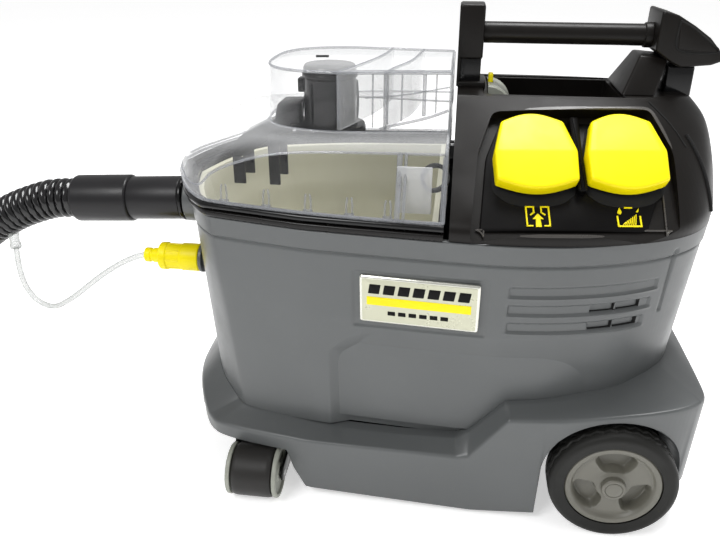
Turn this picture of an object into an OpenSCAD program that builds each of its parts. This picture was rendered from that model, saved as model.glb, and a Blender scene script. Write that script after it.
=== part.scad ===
// Spot extractor: compact spray and suction carpet cleaner with hose
// X runs from the hose end (-) to the handle end (+), Y across, Z up; the floor is Z = 0

/* [Body] */
// Half length of the machine
half_l = 257; // [250:1:262]
// Height where the grey housing starts above the skirt
housing_z0 = 80; // [78:1:84]
// Height of the housing rim
rim_z = 275; // [268:1:278]
// Wall thickness of the moulded shells
wall = 3.5; // [2.5:0.5:4]
// Height of the lid's shoulder
shoulder_z = 339; // [334:1:342]
// Height of the clear turret
turret_z = 391; // [380:1:396]
// Height of the black cover under the handle
cover_z = 371; // [366:1:374]

/* [Running gear] */
// Rear tyre radius
wheel_r = 56; // [52:1:58]
// Rear tyre width
wheel_w = 32; // [26:1:34]
// Rear wheel outer face from the centre plane
track_y = 166; // [164:1:170]
// Rear axle position
axle_x = 181; // [176:1:184]
// Axle radius
axle_r = 5; // [4:0.5:6]
// Caster wheel radius
caster_r = 25; // [22:1:25]
// Caster wheel width
caster_w = 49; // [40:1:50]
// Caster stem position along the machine
stem_x = -147; // [-150:1:-144]
// Caster stem position across the machine
stem_y = 127; // [125:1:128]
// Caster trail
trail = 21; // [20:1:22]

/* [Handle] */
// Height of the top of the front post
post_z = 441; // [436:1:446]
// Height of the grip bar's axis
bar_z = 416.5; // [410:0.5:420]
// Radius of the grip bar
bar_r = 9.2; // [8:0.1:11]

/* [Hose] */
// Outer diameter of the suction hose
hose_d = 42; // [38:1:44]
// Outer diameter of the spray tube
tube_d = 6; // [5:0.5:7]
// Height of the inlet collar's axis
inlet_z = 247; // [240:1:250]
// Downward tilt of the hose cuff, degrees
cuff_tilt = 3; // [0:1:5]

/* [Switches] */
// Slope of the switch panel from horizontal, degrees
panel_slope = 40.9; // [38:0.1:44]
// Turn of the panel towards the rear, degrees
panel_turn = 7; // [4:0.5:9]

/* [Hidden] */
$fn = 64;
eps = 0.01;
grey = "#6c6f75";
dark = "#35302d";
black = "#222222";
yellow = "#ffee00";
clear = [0.85, 0.86, 0.88, 0.35];
cream = "#c9c4a6";
steel = "#b8bcc0";
caster_y = stem_y + trail;
pan_z = 57;              // underside of the base pan
hub_r = 10.6;
rim_r = 42;
coupling_y = -28;
coupling_z = 192;
lid_x = 21;              // rear face of the lid and of the container's rim
cover_x = 25.5;          // front face of the black cover
seal_z = rim_z + 6.3;    // underside of the lid seal
lid_z = seal_z + 6.7;    // underside of the clear lid
caps = [[-27, 1], [44.5, 0.94]];       // switch caps: centre along the panel, width factor
coil_c = [-770, -80];    // centre of the hose coil on the floor
end_c = [-770, -270.5, 68];           // start of the hose's far end fitting

// Half outlines, front centre to rear centre, as [x, distance from the centre plane]
plan_rim = [[-248, 0], [-247, 40], [-245, 78], [-230, 98], [-184, 119], [-176, 123], [-110, 136],
  [-90, 139], [50, 151], [95, 150], [135, 143], [178, 129], [214, 108], [240, 82], [253, 45], [256, 0]];
plan_low = [[-204, 0], [-203, 40], [-201, 70], [-190, 90], [-166, 111], [-158, 115], [-102, 127],
  [-84, 130], [40, 139], [88, 138], [125, 134], [170, 120], [205, 98], [224, 76], [234, 45], [236, 0]];
plan_skirt = [[-238, 0], [-237, 45], [-228, 88], [-206, 118], [-182, 136], [-165, 143], [-102, 151.5],
  [-84, 152.8], [40, 157], [88, 158], [130, 158], [185, 156], [226, 148], [247, 132], [257, 90], [257, 0]];
// Skirt heights at each point of plan_skirt: lower edge, outer ledge edge, inner ledge edge
skirt_z = [[52, 78, 108], [52, 78, 108], [52, 77, 104], [52, 76, 90], [52, 74, 82], [52, 72, 80],
  [52, 70, 80], [9, 70, 79], [9, 68, 78], [9, 108, 120], [9, 114, 125], [9, 130, 138], [62, 141, 150],
  [62, 140, 156], [62, 134, 158], [62, 131, 158]];

function lerp(a, b, t) = a + (b - a) * t;
// One corner-cutting pass over an open chain of points; its ends stay
function soften(p) = concat([p[0]],
  [for (i = [0 : len(p) - 2]) each [if (i > 0) lerp(p[i], p[i + 1], 0.25),
    if (i < len(p) - 2) lerp(p[i], p[i + 1], 0.75)]],
  [p[len(p) - 1]]);
// A half outline mirrored into a whole one, anticlockwise from above
function around(h) = concat([for (p = h) [p.x, -p.y]],
  [for (i = [len(h) - 1 : -1 : 0]) if (h[i].y > eps) [h[i].x, h[i].y]]);
function whole(h) = around(soften(h));
function ahead(h, x) = concat([for (p = h) if (p.x < x) p],
  [let (i = [for (k = [1 : len(h) - 1]) if (h[k].x >= x && h[k - 1].x < x) k][0])
    [x, lerp(h[i - 1].y, h[i].y, (x - h[i - 1].x) / (h[i].x - h[i - 1].x))]]);
// A closed outline moved inwards by d
function inset(r, d) = [for (i = [0 : len(r) - 1])
  let (n = len(r), t = r[(i + 1) % n] - r[(i + n - 1) % n], s = norm(t))
    [r[i].x - t.y / s * d, r[i].y + t.x / s * d]];
function at_z(r, z) = [for (p = r) [p.x, p.y, z]];

module loft(rings) {
  n = len(rings[0]);
  m = len(rings);
  polyhedron([for (r = rings) each r], concat(
    [[for (i = [0 : n - 1]) i]],
    [[for (i = [n - 1 : -1 : 0]) (m - 1) * n + i]],
    [for (k = [0 : m - 2]) for (i = [0 : n - 1])
      let (a = k * n + i, b = k * n + (i + 1) % n) each [[a, a + n, b + n], [a, b + n, b]]]));
}

// A closed band whose cross section, given at each step along it, is a loop of points
module band(loops) {
  m = len(loops);
  n = len(loops[0]);
  polyhedron([for (l = loops) each l], [for (k = [0 : m - 1]) for (i = [0 : n - 1])
    let (a = k * n + i, b = k * n + (i + 1) % n, c = (k + 1) % m * n + i,
      d = (k + 1) % m * n + (i + 1) % n) each [[a, d, c], [a, b, d]]]);
}

// A round tube along a list of points
module sweep(p, r, sides) {
  m = len(p);
  function dir(i) = let (d = p[min(i + 1, m - 1)] - p[max(i - 1, 0)]) d / norm(d);
  loft_ring = [for (i = [0 : m - 1])
    let (t = dir(i), u = cross(t, [0, 1, 0.3]), a = u / norm(u), b = cross(t, a))
      [for (k = [0 : sides - 1]) p[i] + r * (cos(360 * k / sides) * a + sin(360 * k / sides) * b)]];
  loft(loft_ring);
}

module along_x(x, y, z) translate([x, y, z]) rotate([0, 90, 0]) children();
module along_y(x, y, z) translate([x, y, z]) rotate([-90, 0, 0]) children();
module pipe(r_out, r_in, l) difference() {
  cylinder(r = r_out, h = l);
  translate([0, 0, -1]) cylinder(r = r_in, h = l + 2);
}
module block(lo, hi) translate(lo) cube(hi - lo);
module both_sides() for (s = [-1, 1]) scale_y(s) children();
module scale_y(s) if (s < 0) mirror([0, 1, 0]) children(); else children();
module on_panel() translate([118, -96.5, 330.5]) rotate([panel_slope, 0, panel_turn]) children();
module along_cuff() translate([-half_l, 0, inlet_z]) rotate([0, -90 - cuff_tilt, 0]) children();

/* Housing */
module tank_housing() color(grey) difference() {
  loft([at_z(whole(plan_low), housing_z0), at_z(whole(plan_rim), rim_z)]);
  loft([at_z(inset(whole(plan_low), wall), housing_z0 + wall),
    at_z(inset(whole(plan_rim), wall), rim_z + 0.5)]);
  along_x(-260, 0, inlet_z) cylinder(r = 24.2, h = 40);
  along_x(-245, coupling_y, coupling_z) cylinder(r = 9.2, h = 30);
  for (z = [194, 211], x = [145, 166])
    translate([x, -150, z]) rotate([0, 0, 15]) cube([19, 40, 7.5]);
}

module base_skirt() color(grey) difference() {
  outer = whole(plan_skirt);
  inner = inset(outer, 4);
  low = whole(plan_low);
  top = whole(plan_rim);
  heights = soften(skirt_z);
  h = concat(heights, [for (i = [len(heights) - 2 : -1 : 1]) heights[i]]);
  // Where the ledge meets the housing, just outside its wall
  body = inset([for (i = [0 : len(h) - 1])
    lerp(low[i], top[i], max(0, h[i][2] - housing_z0) / (rim_z - housing_z0))], -0.5);
  band([for (i = [0 : len(h) - 1]) [
    [outer[i].x, outer[i].y, h[i][0]], [outer[i].x, outer[i].y, h[i][1]],
    [body[i].x, body[i].y, h[i][2]], [body[i].x, body[i].y, h[i][2] - 5],
    [inner[i].x, inner[i].y, h[i][1] - 5], [inner[i].x, inner[i].y, h[i][0]]]]);
  both_sides() along_y(axle_x, 128, wheel_r) cylinder(r = wheel_r + 6.5, h = 60);
  both_sides() block([axle_x - 60, 128, 0], [axle_x + 58, 190, wheel_r]);
}

module base_pan() color(black) difference() {
  union() {
    translate([0, 0, pan_z]) linear_extrude(4.5) polygon(inset(whole(plan_skirt), 8));
    both_sides() translate([stem_x, stem_y, pan_z]) cylinder(r = 10.5, h = 9.6);
    both_sides() block([axle_x - 14, 100, 44], [axle_x + 14, 112, pan_z + eps]);
    for (x = [-120, 110], y = [-70, 70]) translate([x, y, pan_z + 4.4]) cylinder(r = 9, h = 18.3);
  }
  both_sides() translate([stem_x, stem_y, 50]) cylinder(r = 6.05, h = 26);
  along_y(axle_x, -140, wheel_r) cylinder(r = axle_r + 0.05, h = 280);
  both_sides() block([axle_x - 64, 118, 40], [axle_x + 66, 190, 90]);
  for (x = [-120, 110], y = [-70, 70]) translate([x, y, pan_z - 2]) cylinder(r = 2.55, h = 20);
}

module pan_screws() color(steel) for (x = [-120, 110], y = [-70, 70]) translate([x, y, pan_z - 2.7]) {
  cylinder(r = 5, h = 2.6);
  cylinder(r = 2.5, h = 15);
}

module badge_plate() color("#c6c6b0") translate([3.5, -144.3, 215.5]) rotate([3, 0, -4.7])
  block([-50.5, -2.2, -22.5], [50.5, 0, 22.5]);

module vent_grille() color(black) translate([143, -133, 190]) rotate([0, 0, 21])
  block([0, 3, 0], [44, 4.6, 36]);

module air_inlet_ring() color(black) along_x(lid_x + 0.5, 0, 303) pipe(14, 10, 3.8);

module spray_socket() color(black) along_x(-238, coupling_y, coupling_z) {
  translate([0, 0, 1.2]) pipe(15, 4, 3.8);
  translate([0, 0, 5 - eps]) pipe(9, 4, 11);
}

module inlet_collar() color(grey) {
  along_x(-half_l, 0, inlet_z) pipe(24, 19, 19.5);
}

/* Container, lid and what they carry */
module recovery_container() color(cream) difference() {
  low = around(soften([[-196, 0], [-195, 50], [-182, 84], [-160, 103], [-80, 116], [0, 119], [14, 119]]));
  top = around(soften([[-238, 0], [-236, 72], [-222, 92], [-178, 113], [-90, 131], [0, 140], [14, 141]]));
  loft([at_z(low, 140), at_z(top, rim_z)]);
  loft([at_z(inset(low, 3), 143), at_z(inset(top, 3), rim_z + 0.5)]);
  along_x(-245, 0, inlet_z) cylinder(r = 20, h = 40);
}

function rim_line(out) = around(soften(ahead([for (p = plan_rim) [p.x - (p.x < -170 ? out : 0),
  p.y > 0 ? p.y + out : 0]], lid_x)));

module rim_strip(z, h, out, thick) translate([0, 0, z]) linear_extrude(h) difference() {
  polygon(rim_line(out));
  polygon(inset(rim_line(out), thick));
}

module container_rim() color(black) rim_strip(rim_z + 0.3, 5.7, 3, 12);
module lid_seal() color(black) rim_strip(seal_z, 6.7, 2.6, 12);

function lid_ring(front, side, k) = around(soften(concat([[front, 0], [front + 1, 40]],
  k < 1 ? [[front + 3, 78], [front + 18, 98], [-184, side - 22], [-176, side - 18]]
        : [[front + 5, side * 0.55], [front + 20, side * 0.72], [front + 48, side - 16],
           [front + 62, side - 10]],
  [[-90, side - 5], [0, side], [lid_x, side]])));
lid_rings = [[lid_z, -247, 147, 0], [300, -243, 143, 0], [312, -230, 136, 1], [324, -203, 130, 1],
  [334, -178, 124, 1], [shoulder_z, -158, 110, 1]];
function turret_ring(o) = around(soften([[-146 + o, 0], [-145 + o, 30], [-134 + o, 54],
  [-112 + o * 0.5, 68 - o * 0.8], [-84, 72 - o], [-50, 69 - o], [lid_x, 62 - o]]));

// Curved walls under the turret's top, near side to far side
partitions = [[[-75, -70], [-67, -47], [-53, -2], [-46, 30], [-41, 76]],
  [[-35, -70], [-28, -37], [-18, -5], [-13, 30], [-10, 76]]];

module clear_lid() color(clear) {
  difference() {
    union() {
      loft([for (r = lid_rings) at_z(lid_ring(r[1], r[2], r[3]), r[0])]);
      loft([at_z(turret_ring(-3), 326), at_z(turret_ring(0), turret_z)]);
    }
    loft([for (r = lid_rings) at_z(inset(lid_ring(r[1], r[2], r[3]), 2.8),
      r[0] == lid_z ? lid_z - 0.5 : r[0] - 2.4)]);
    loft([at_z(inset(turret_ring(-3), 2.8), 325), at_z(inset(turret_ring(0), 2.8), turret_z - 2.8)]);
  }
  translate([0, 0, 340]) linear_extrude(turret_z - 342.8 + eps) intersection() {
    for (c = partitions) polygon(concat(c, [for (i = [len(c) - 1 : -1 : 0]) c[i] + [2.5, 0]]));
    polygon(inset(turret_ring(0), 2));
  }
}

module baffle() color("#9a9da2") block([-24, -57, 292], [14, -54.5, 334]);

module suction_dome() color(black) translate([-94, 0, 0]) difference() {
  union() {
    translate([0, 0, 330]) cylinder(r = 25, h = 56);
    translate([0, 0, 327]) cylinder(r = 34, h = 4);
    block([-29, -6, 360], [-20, 6, 372]);
  }
  translate([0, 0, 320]) cylinder(r = 22, h = 64);
  for (a = [20 : 72 : 350]) rotate([0, 0, a]) block([0, -5, 336], [40, 5, 352]);
}

module float_cup() color("#e8e6da") translate([-94, 0, 333]) difference() {
  cylinder(r = 18, h = 26);
  translate([0, 0, -1]) cylinder(r = 15.5, h = 24);
}

module float_cage() color(black) translate([-94, 0, 0]) {
  translate([0, 0, 324]) pipe(34, 12, 3);
}

module suction_duct() color(black) {
  block([-142, -15, 331.4], [-121, 15, 352]);
  hull() {
    block([-146, -15, 322], [-129, 15, 334]);
    block([-192, -18, 296], [-186, 18, 308]);
  }
  for (y = [-17, 17]) block([-190, y - 1.5, 274], [-176, y + 1.5, 300]);
  for (y = [-16, 16]) block([-152, y - 1.5, 272], [-141, y + 1.5, 324]);
}

/* Black cover, switches and handle */
cover_rings = [
  [276, [[cover_x, 150], [60, 152], [115, 149], [165, 138],
    [211, 117], [239, 86], [251, 50], [257, 20], [257, 0]]],
  [291, [[cover_x, 146], [60, 148], [115, 146], [165, 136],
    [210, 115], [238, 85], [251, 50], [257, 20], [257, 0]]],
  [322, [[cover_x, 108], [60, 110], [115, 109], [165, 104],
    [206, 92], [232, 69], [247, 41], [253, 14], [253, 0]]],
  [348, [[cover_x, 78], [60, 80], [115, 79], [165, 75],
    [201, 66], [226, 48], [239, 29], [244, 12], [244, 0]]],
  [366, [[cover_x, 57], [60, 58], [115, 57], [165, 52],
    [198, 44], [216, 32], [226, 20], [229, 8], [229, 0]]],
  [cover_z, [[cover_x, 50], [60, 51], [115, 50], [165, 45],
    [194, 38], [210, 27], [218, 16], [221, 6], [221, 0]]]];
function cover_ring(i) = whole(cover_rings[i][1]);
module cover_skin(d) loft([for (i = [0 : 5]) at_z(inset(cover_ring(i), d), cover_rings[i][0])]);
module panel_shape(grow) polygon([[-83 - grow, -66 - grow], [84 + grow, -66 - grow], [86 + grow, 8],
  [73 + grow, 50 + grow], [-58 - grow, 50 + grow], [-73 - grow, 8]]);

module motor_cover() color(dark) difference() {
  union() {
    difference() {
      cover_skin(0);
      loft([for (i = [0 : 5]) at_z(inset(cover_ring(i), i < 5 ? 3.2 : 6),
        i == 0 ? 275 : cover_rings[i][0] - (i < 5 ? 1.5 : 3.2))]);
    }
    difference() {
      block([49, -44, 305], [167, 44, cover_z - 1]);
      block([52, -41, 308], [164, 41, cover_z + 1]);
    }
    intersection() {
      on_panel() translate([0, 0, -16]) linear_extrude(14) panel_shape(4);
      cover_skin(1);
    }
  }
  block([52, -41, 308], [164, 41, cover_z + 1]);
  on_panel() translate([0, 0, -12.8]) linear_extrude(60) panel_shape(0);
  for (c = caps) on_panel() translate([c[0] - 20, -20, -30]) cube([40, 44, 30]);
}

module control_panel() color("#2b2a29") intersection() {
  cover_skin(-0.5);
  on_panel() panel_tray();
}
module panel_tray() difference() {
  translate([0, 0, -12.6]) linear_extrude(14) panel_shape(-0.4);
  translate([0, 0, -9.6]) linear_extrude(20) panel_shape(-6);
  for (c = caps) translate([c[0] - 19, -19, -14]) cube([38, 42, 6]);
}

module panel_divider() color("#2b2a29") on_panel() block([8, -30, -9.6], [11, 42, 2]);

module panel_symbols() color(yellow) on_panel() translate([0, 0, -9.5]) linear_extrude(0.6) {
  translate([-27, -50]) difference() { circle(9); circle(7.4); }
  translate([-27, -50]) polygon([[-4, -1], [0, 5], [4, -1], [1.4, -1], [1.4, -5], [-1.4, -5], [-1.4, -1]]);
  for (x = [-5, 1, 7]) translate([44.5 + x - 1, -50]) rotate([0, 0, -20]) square([1.6, 8]);
  translate([36, -58]) square([18, 1.8]);
}

module cap_outline() polygon(concat([[-34, -26]],
  [for (i = [1 : 7]) [lerp(-34, 34, i / 8), -26 - 8.5 * sin(180 * i / 8)]], [[34, -26], [33, 4]],
  [for (i = [0 : 8]) [lerp(26.5, -26.5, i / 8), 34 + 9 * sin(180 * i / 8)]], [[-33, 4]]));
module switch_cap(c) color(yellow) on_panel() translate([c[0], 0, 0]) intersection() {
  translate([0, 0, -5]) linear_extrude(30) scale([c[1], 1]) cap_outline();
  rotate([90, 0, 90]) translate([0, 0, -40]) linear_extrude(80)
    polygon([[-36, -4], [45, -4], [45, 3.5], [4, 10], [-36, 5]]);
}
module left_switch_cap() switch_cap(caps[0]);
module right_switch_cap() switch_cap(caps[1]);

module switch_bodies() color(black) on_panel() for (c = caps)
  translate([c[0], 2, -30]) { block([-17, -16, 0], [17, 16, 16]); block([-7, -7, 16 - eps], [7, 7, 20.2]); }

module handle_post() color(dark) {
  block([24, -16, 396], [46, 16, post_z]);
  block([27, -13, cover_z + 4], [45, 13, 396 + eps]);
  block([cover_x + 0.2, -18, cover_z], [48, 18, cover_z + 4 + eps]);
}

module grip_bar() color(black) along_x(46, 0, bar_z) {
  cylinder(r = bar_r, h = 138);
  translate([0, 0, 138 - eps]) cylinder(r = bar_r + 1.4, h = 5);
}

module handle_cap() color(dark) intersection() {
  translate([0, 30, 0]) rotate([90, 0, 0]) linear_extrude(60)
    polygon([[189, 405], [189, 440], [204, 435], [218, 427], [233, 417], [242, 407], [246, 399],
      [236, 395.5], [211, 393], [204, 397]]);
  translate([189, 0, 340]) cylinder(r = 58, h = 120);
  block([180, -26, 380], [260, 26, 445]);
}

module handle_neck() color(black) {
  block([203, -14, cover_z], [226, 14, 392.5]);
}

module handle_strut() color("#56504c") hull() {
  block([168, -36, cover_z], [192, 36, cover_z + 3]);
  block([180, -15, 386], [196, 15, 396.5]);
}

module latch_housing() color(grey) difference() {
  intersection() {
    along_y(52.5, -22, 352) cylinder(r = 22, h = 44);
    block([52.5, -30, 330], [90, 30, 380]);
  }
  block([52, -5.5, 369.5], [57.5, 5.5, 375]);
}
module release_tab() color(yellow) block([52.5, -5, 374.5], [57, 5, 381]);

/* Inside */
module vacuum_motor() color("#8a8d90") translate([118, 0, 0]) {
  translate([0, 0, 100]) cylinder(r = 60, h = 70);
  translate([0, 0, 170 - eps]) cylinder(r = 45, h = 60);
  translate([0, 0, housing_z0 + wall + 0.1]) cylinder(r = 20, h = 20);
}
module spray_pump() color("#77797c") {
  translate([29, 0, housing_z0 + wall + 0.1]) block([0, -40, 0], [18, 40, 50]);
  along_y(38, -36, 144) cylinder(r = 16, h = 60);
}
module spray_line() color(clear) sweep([[38, -46, 100], [0, -50, 98], [-60, -50, 96], [-120, -46, 96],
  [-165, -38, 102], [-192, -31, 116], [-205, -28, 140], [-212, -28, 165], [-216, -28, 182],
  [-220, -28, 191], [-226, -28, 192]], 4, 8);

/* Rear wheels */
module axle() color(steel) along_y(axle_x, -162, wheel_r) cylinder(r = axle_r, h = 324);
module tyre() color(black) along_y(axle_x, track_y - wheel_w, wheel_r) rotate_extrude()
  polygon([[rim_r, 1], [wheel_r - 5, 0], [wheel_r - 1.5, 2.5], [wheel_r, 7], [wheel_r, wheel_w - 7],
    [wheel_r - 1.5, wheel_w - 2.5], [wheel_r - 5, wheel_w], [rim_r, wheel_w - 1]]);
module rim() color("#6a685d") along_y(axle_x, track_y - wheel_w + 2, wheel_r) difference() {
  rotate_extrude() polygon([[0, 6], [rim_r - 4, 6], [rim_r - 4, 0], [rim_r, 0], [rim_r, wheel_w - 3],
    [rim_r - 3, wheel_w - 2], [rim_r - 6, wheel_w - 4], [12, wheel_w - 1], [0, wheel_w - 1]]);
  translate([0, 0, -1]) cylinder(r = axle_r + 0.05, h = wheel_w - 3);
  for (a = [90, 210, 330]) rotate([0, 0, -a]) translate([26, 0, wheel_w - 12]) cylinder(r = 8, h = 14);
}
module hub_cap() color("#5f6260") along_y(axle_x, track_y + 1, wheel_r) cylinder(r = hub_r, h = 2);

/* Casters, drawn on the far side */
module caster_fork() color(black) difference() {
  bridge_y = caster_y - caster_r - 4.3;
  union() {
    translate([stem_x, stem_y, 51]) cylinder(r = 11.4, h = 3.4);
    translate([stem_x, stem_y, 54]) cylinder(r = 6, h = 11);
    block([stem_x - 7, bridge_y, 40], [stem_x + 7, bridge_y + 2.9, 54]);
    block([stem_x - 28, bridge_y, 20], [stem_x + 28, bridge_y + 2.9, 48.5]);
    for (x = [stem_x - 28, stem_x + 25.3]) {
      block([x, bridge_y, 18], [x + 2.7, caster_y, 34]);
      along_x(x, caster_y, caster_r) cylinder(r = 8, h = 2.7);
    }
  }
  along_x(stem_x - 30, caster_y, caster_r) cylinder(r = 3, h = 60);
}
module caster_axle() color(steel) along_x(stem_x - 28.4, caster_y, caster_r) cylinder(r = 3, h = 56.8);
module caster_tread() color("#34322f") along_x(stem_x - caster_w / 2 + 4.2, caster_y, caster_r)
  pipe(caster_r, 5, caster_w - 8.4);
module caster_flanges() color("#989a88") along_x(stem_x - caster_w / 2, caster_y, caster_r) {
  for (z = [0, caster_w - 4.2]) translate([0, 0, z]) pipe(caster_r - 0.6, caster_r - 4, 4.2);
  for (z = [2.8, caster_w - 4.2]) translate([0, 0, z]) pipe(caster_r - 3.9, 5, 1.4);
  pipe(5, 3.05, caster_w);
}

/* Coupling and hoses */
module coupling_core() color(yellow) along_x(-287, coupling_y, coupling_z) {
  pipe(7.6, 3.1, 16);
  translate([0, 0, 16 - eps]) pipe(9.4, 4.4, 33.9);
}
module coupling_sleeve() color(yellow) along_x(-270, coupling_y, coupling_z) difference() {
  cylinder(r = 14.4, h = 32.8);
  translate([0, 0, -1]) cylinder(r = 9.45, h = 45);
}
module cuff_ring() color(black) along_cuff() translate([0, 0, 1.6]) pipe(23.5, 18.8, 4);
module cuff_socket() color("#3c3a3e") along_cuff() translate([0, 0, 5.6]) pipe(22.4, 16, 42);
module cuff_sleeve() color("#3c3a3e") along_cuff() translate([0, 0, 47.6]) pipe(24.4, 16, 63);

hose_route = [[-368, 0, 241], [-402, 0, 237], [-440, 0, 223], [-480, 4, 200], [-518, 17, 170],
  [-555, 38, 133], [-592, 60, 98], [-628, 82, 69], [-664, 104, 48], [-697, 119, 35], [-733, 129, 26.5],
  [-770, 132, 22]];
tube_route = [[-287, -28, 192], [-300, -28, 188], [-318, -28, 179], [-338, -27, 166], [-360, -26, 149],
  [-382, -25, 132], [-405, -22, 119], [-424, -18, 120], [-438, -14, 130], [-446, -10, 144],
  [-449, -7, 162], [-449, -5, 180]];
module suction_hose() color(black) sweep(hose_route, hose_d / 2 - 0.4, 12);
module hose_coil() color(black) translate([coil_c.x, coil_c.y, 0]) {
  rotate_extrude()
    polygon([[146, 4], [150, 0], [229, 0], [233, 4], [233, 38], [228, 43], [151, 43], [146, 38]]);
  // The end of the last turn, lying on the turn below it
  rotate([0, 0, 200]) rotate_extrude(angle = 70)
    polygon([[171, 42.9], [171, 82], [177, 89], [206, 89], [212, 82], [212, 42.9]]);
}
module hose_end_fitting() color("#3c3a3e") along_x(end_c.x, end_c.y, end_c.z) difference() {
  union() { cylinder(r = 23, h = 90); translate([0, 0, 70]) cylinder(r = 24.5, h = 20); }
  translate([0, 0, -1]) cylinder(r = 16, h = 92);
}
module spray_tube() color(clear) sweep(tube_route, tube_d / 2, 8);
module tube_grommet() color(clear) translate([-449, -5, 180]) cylinder(r = 6, h = 20);

tank_housing();
base_skirt();
base_pan();
pan_screws();
badge_plate();
vent_grille();
air_inlet_ring();
inlet_collar();
spray_socket();
recovery_container();
container_rim();
lid_seal();
clear_lid();
baffle();
suction_dome();
float_cup();
float_cage();
suction_duct();
motor_cover();
control_panel();
panel_divider();
panel_symbols();
left_switch_cap();
right_switch_cap();
switch_bodies();
handle_post();
grip_bar();
handle_cap();
handle_neck();
handle_strut();
latch_housing();
release_tab();
vacuum_motor();
spray_pump();
spray_line();
axle();
mirror([0, 1, 0]) tyre();  // near_tyre
mirror([0, 1, 0]) rim();  // near_rim
mirror([0, 1, 0]) hub_cap();  // near_hub_cap
tyre();  // far_tyre
rim();  // far_rim
hub_cap();  // far_hub_cap
mirror([0, 1, 0]) caster_fork();  // near_fork
mirror([0, 1, 0]) caster_axle();  // near_caster_axle
mirror([0, 1, 0]) caster_tread();  // near_tread
mirror([0, 1, 0]) caster_flanges();  // near_flanges
caster_fork();  // far_fork
caster_axle();  // far_caster_axle
caster_tread();  // far_tread
caster_flanges();  // far_flanges
coupling_core();
coupling_sleeve();
cuff_ring();
cuff_socket();
cuff_sleeve();
suction_hose();
hose_coil();
hose_end_fitting();
spray_tube();
tube_grommet();
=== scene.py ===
"""Visual model of a compact spot extractor. Shapes are written in millimetres and built in metres."""
import math

import bmesh
import bpy
import numpy as np
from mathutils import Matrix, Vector


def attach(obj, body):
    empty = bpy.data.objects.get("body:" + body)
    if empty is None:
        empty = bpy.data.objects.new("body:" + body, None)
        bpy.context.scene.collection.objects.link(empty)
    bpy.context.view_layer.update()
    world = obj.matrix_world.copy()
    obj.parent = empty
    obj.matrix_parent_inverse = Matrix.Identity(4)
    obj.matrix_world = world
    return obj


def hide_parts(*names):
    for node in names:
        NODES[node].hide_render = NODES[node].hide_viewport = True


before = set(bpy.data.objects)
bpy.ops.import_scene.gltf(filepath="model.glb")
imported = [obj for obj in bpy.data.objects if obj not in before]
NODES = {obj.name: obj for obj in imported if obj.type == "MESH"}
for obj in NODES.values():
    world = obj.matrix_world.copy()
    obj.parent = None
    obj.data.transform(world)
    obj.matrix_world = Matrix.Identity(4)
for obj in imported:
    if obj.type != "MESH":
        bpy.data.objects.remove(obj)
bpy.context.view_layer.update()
MM = 0.001


# ---------------------------------------------------------------- camera
def make_camera():
    data = bpy.data.cameras.new("camera")
    data.sensor_width = 36.0
    data.lens = 36.04
    data.clip_end = 100.0
    cam = bpy.data.objects.new("camera", data)
    cam.location = (0.0263, -0.6796, 0.4999)
    cam.rotation_euler = (math.radians(64.71), 0.0, math.radians(7.69))
    bpy.context.collection.objects.link(cam)
    bpy.context.scene.camera = cam


make_camera()


# ---------------------------------------------------------------- materials
class Paint:
    """A principled material and short ways to wire its procedural detail."""

    def __init__(self, name, color, rough, **sockets):
        self.mat = bpy.data.materials.new(name)
        self.mat.use_nodes = True
        self.tree = self.mat.node_tree
        self.bsdf = self.tree.nodes["Principled BSDF"]
        self.color, self.rough = color, rough
        self.bsdf.inputs["Base Color"].default_value = (*color, 1)
        self.bsdf.inputs["Roughness"].default_value = rough
        for key, value in sockets.items():
            self.bsdf.inputs[key.replace("_", " ")].default_value = value
        self.coords = self.node("ShaderNodeTexCoord").outputs["Object"]

    def node(self, kind, **inputs):
        n = self.tree.nodes.new(kind)
        for key, value in inputs.items():
            socket = n.inputs[key.replace("_", " ")]
            if isinstance(value, bpy.types.NodeSocket):
                self.tree.links.new(value, socket)
            else:
                socket.default_value = value
        return n

    def noise(self, scale, detail=4.0, rough=0.6):
        n = self.node("ShaderNodeTexNoise", Vector=self.coords, Scale=scale, Detail=detail, Roughness=rough)
        return n.outputs["Fac"]

    def ramp(self, fac, low, high, a, b):
        """fac from low to high becomes a value from a to b."""
        n = self.node("ShaderNodeMapRange", Value=fac, From_Min=low, From_Max=high, To_Min=a, To_Max=b)
        return n.outputs["Result"]

    def tint(self, fac, low, high, amount, scale=0.75):
        """The colour goes towards a darker or paler tone where fac is high."""
        other = tuple(min(1.0, c * scale) for c in self.color)
        mix = self.tree.nodes.new("ShaderNodeMix")
        mix.data_type = "RGBA"
        mix.inputs["A"].default_value = (*self.color, 1)
        source = self.bsdf.inputs["Base Color"]
        if source.is_linked:
            self.tree.links.new(source.links[0].from_socket, mix.inputs["A"])
        mix.inputs["B"].default_value = (*other, 1)
        self.tree.links.new(self.ramp(fac, low, high, 0.0, amount), mix.inputs["Factor"])
        self.tree.links.new(mix.outputs["Result"], source)
        return self

    def vary_rough(self, fac, spread):
        low, high = max(0.02, self.rough - spread), min(1.0, self.rough + spread)
        self.tree.links.new(self.ramp(fac, 0.3, 0.7, low, high), self.bsdf.inputs["Roughness"])
        return self

    def bump(self, height, strength, distance):
        n = self.node("ShaderNodeBump", Height=height, Strength=strength, Distance=distance)
        source = self.bsdf.inputs["Normal"]
        if source.is_linked:
            self.tree.links.new(source.links[0].from_socket, n.inputs["Normal"])
        self.tree.links.new(n.outputs["Normal"], source)
        return self


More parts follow.
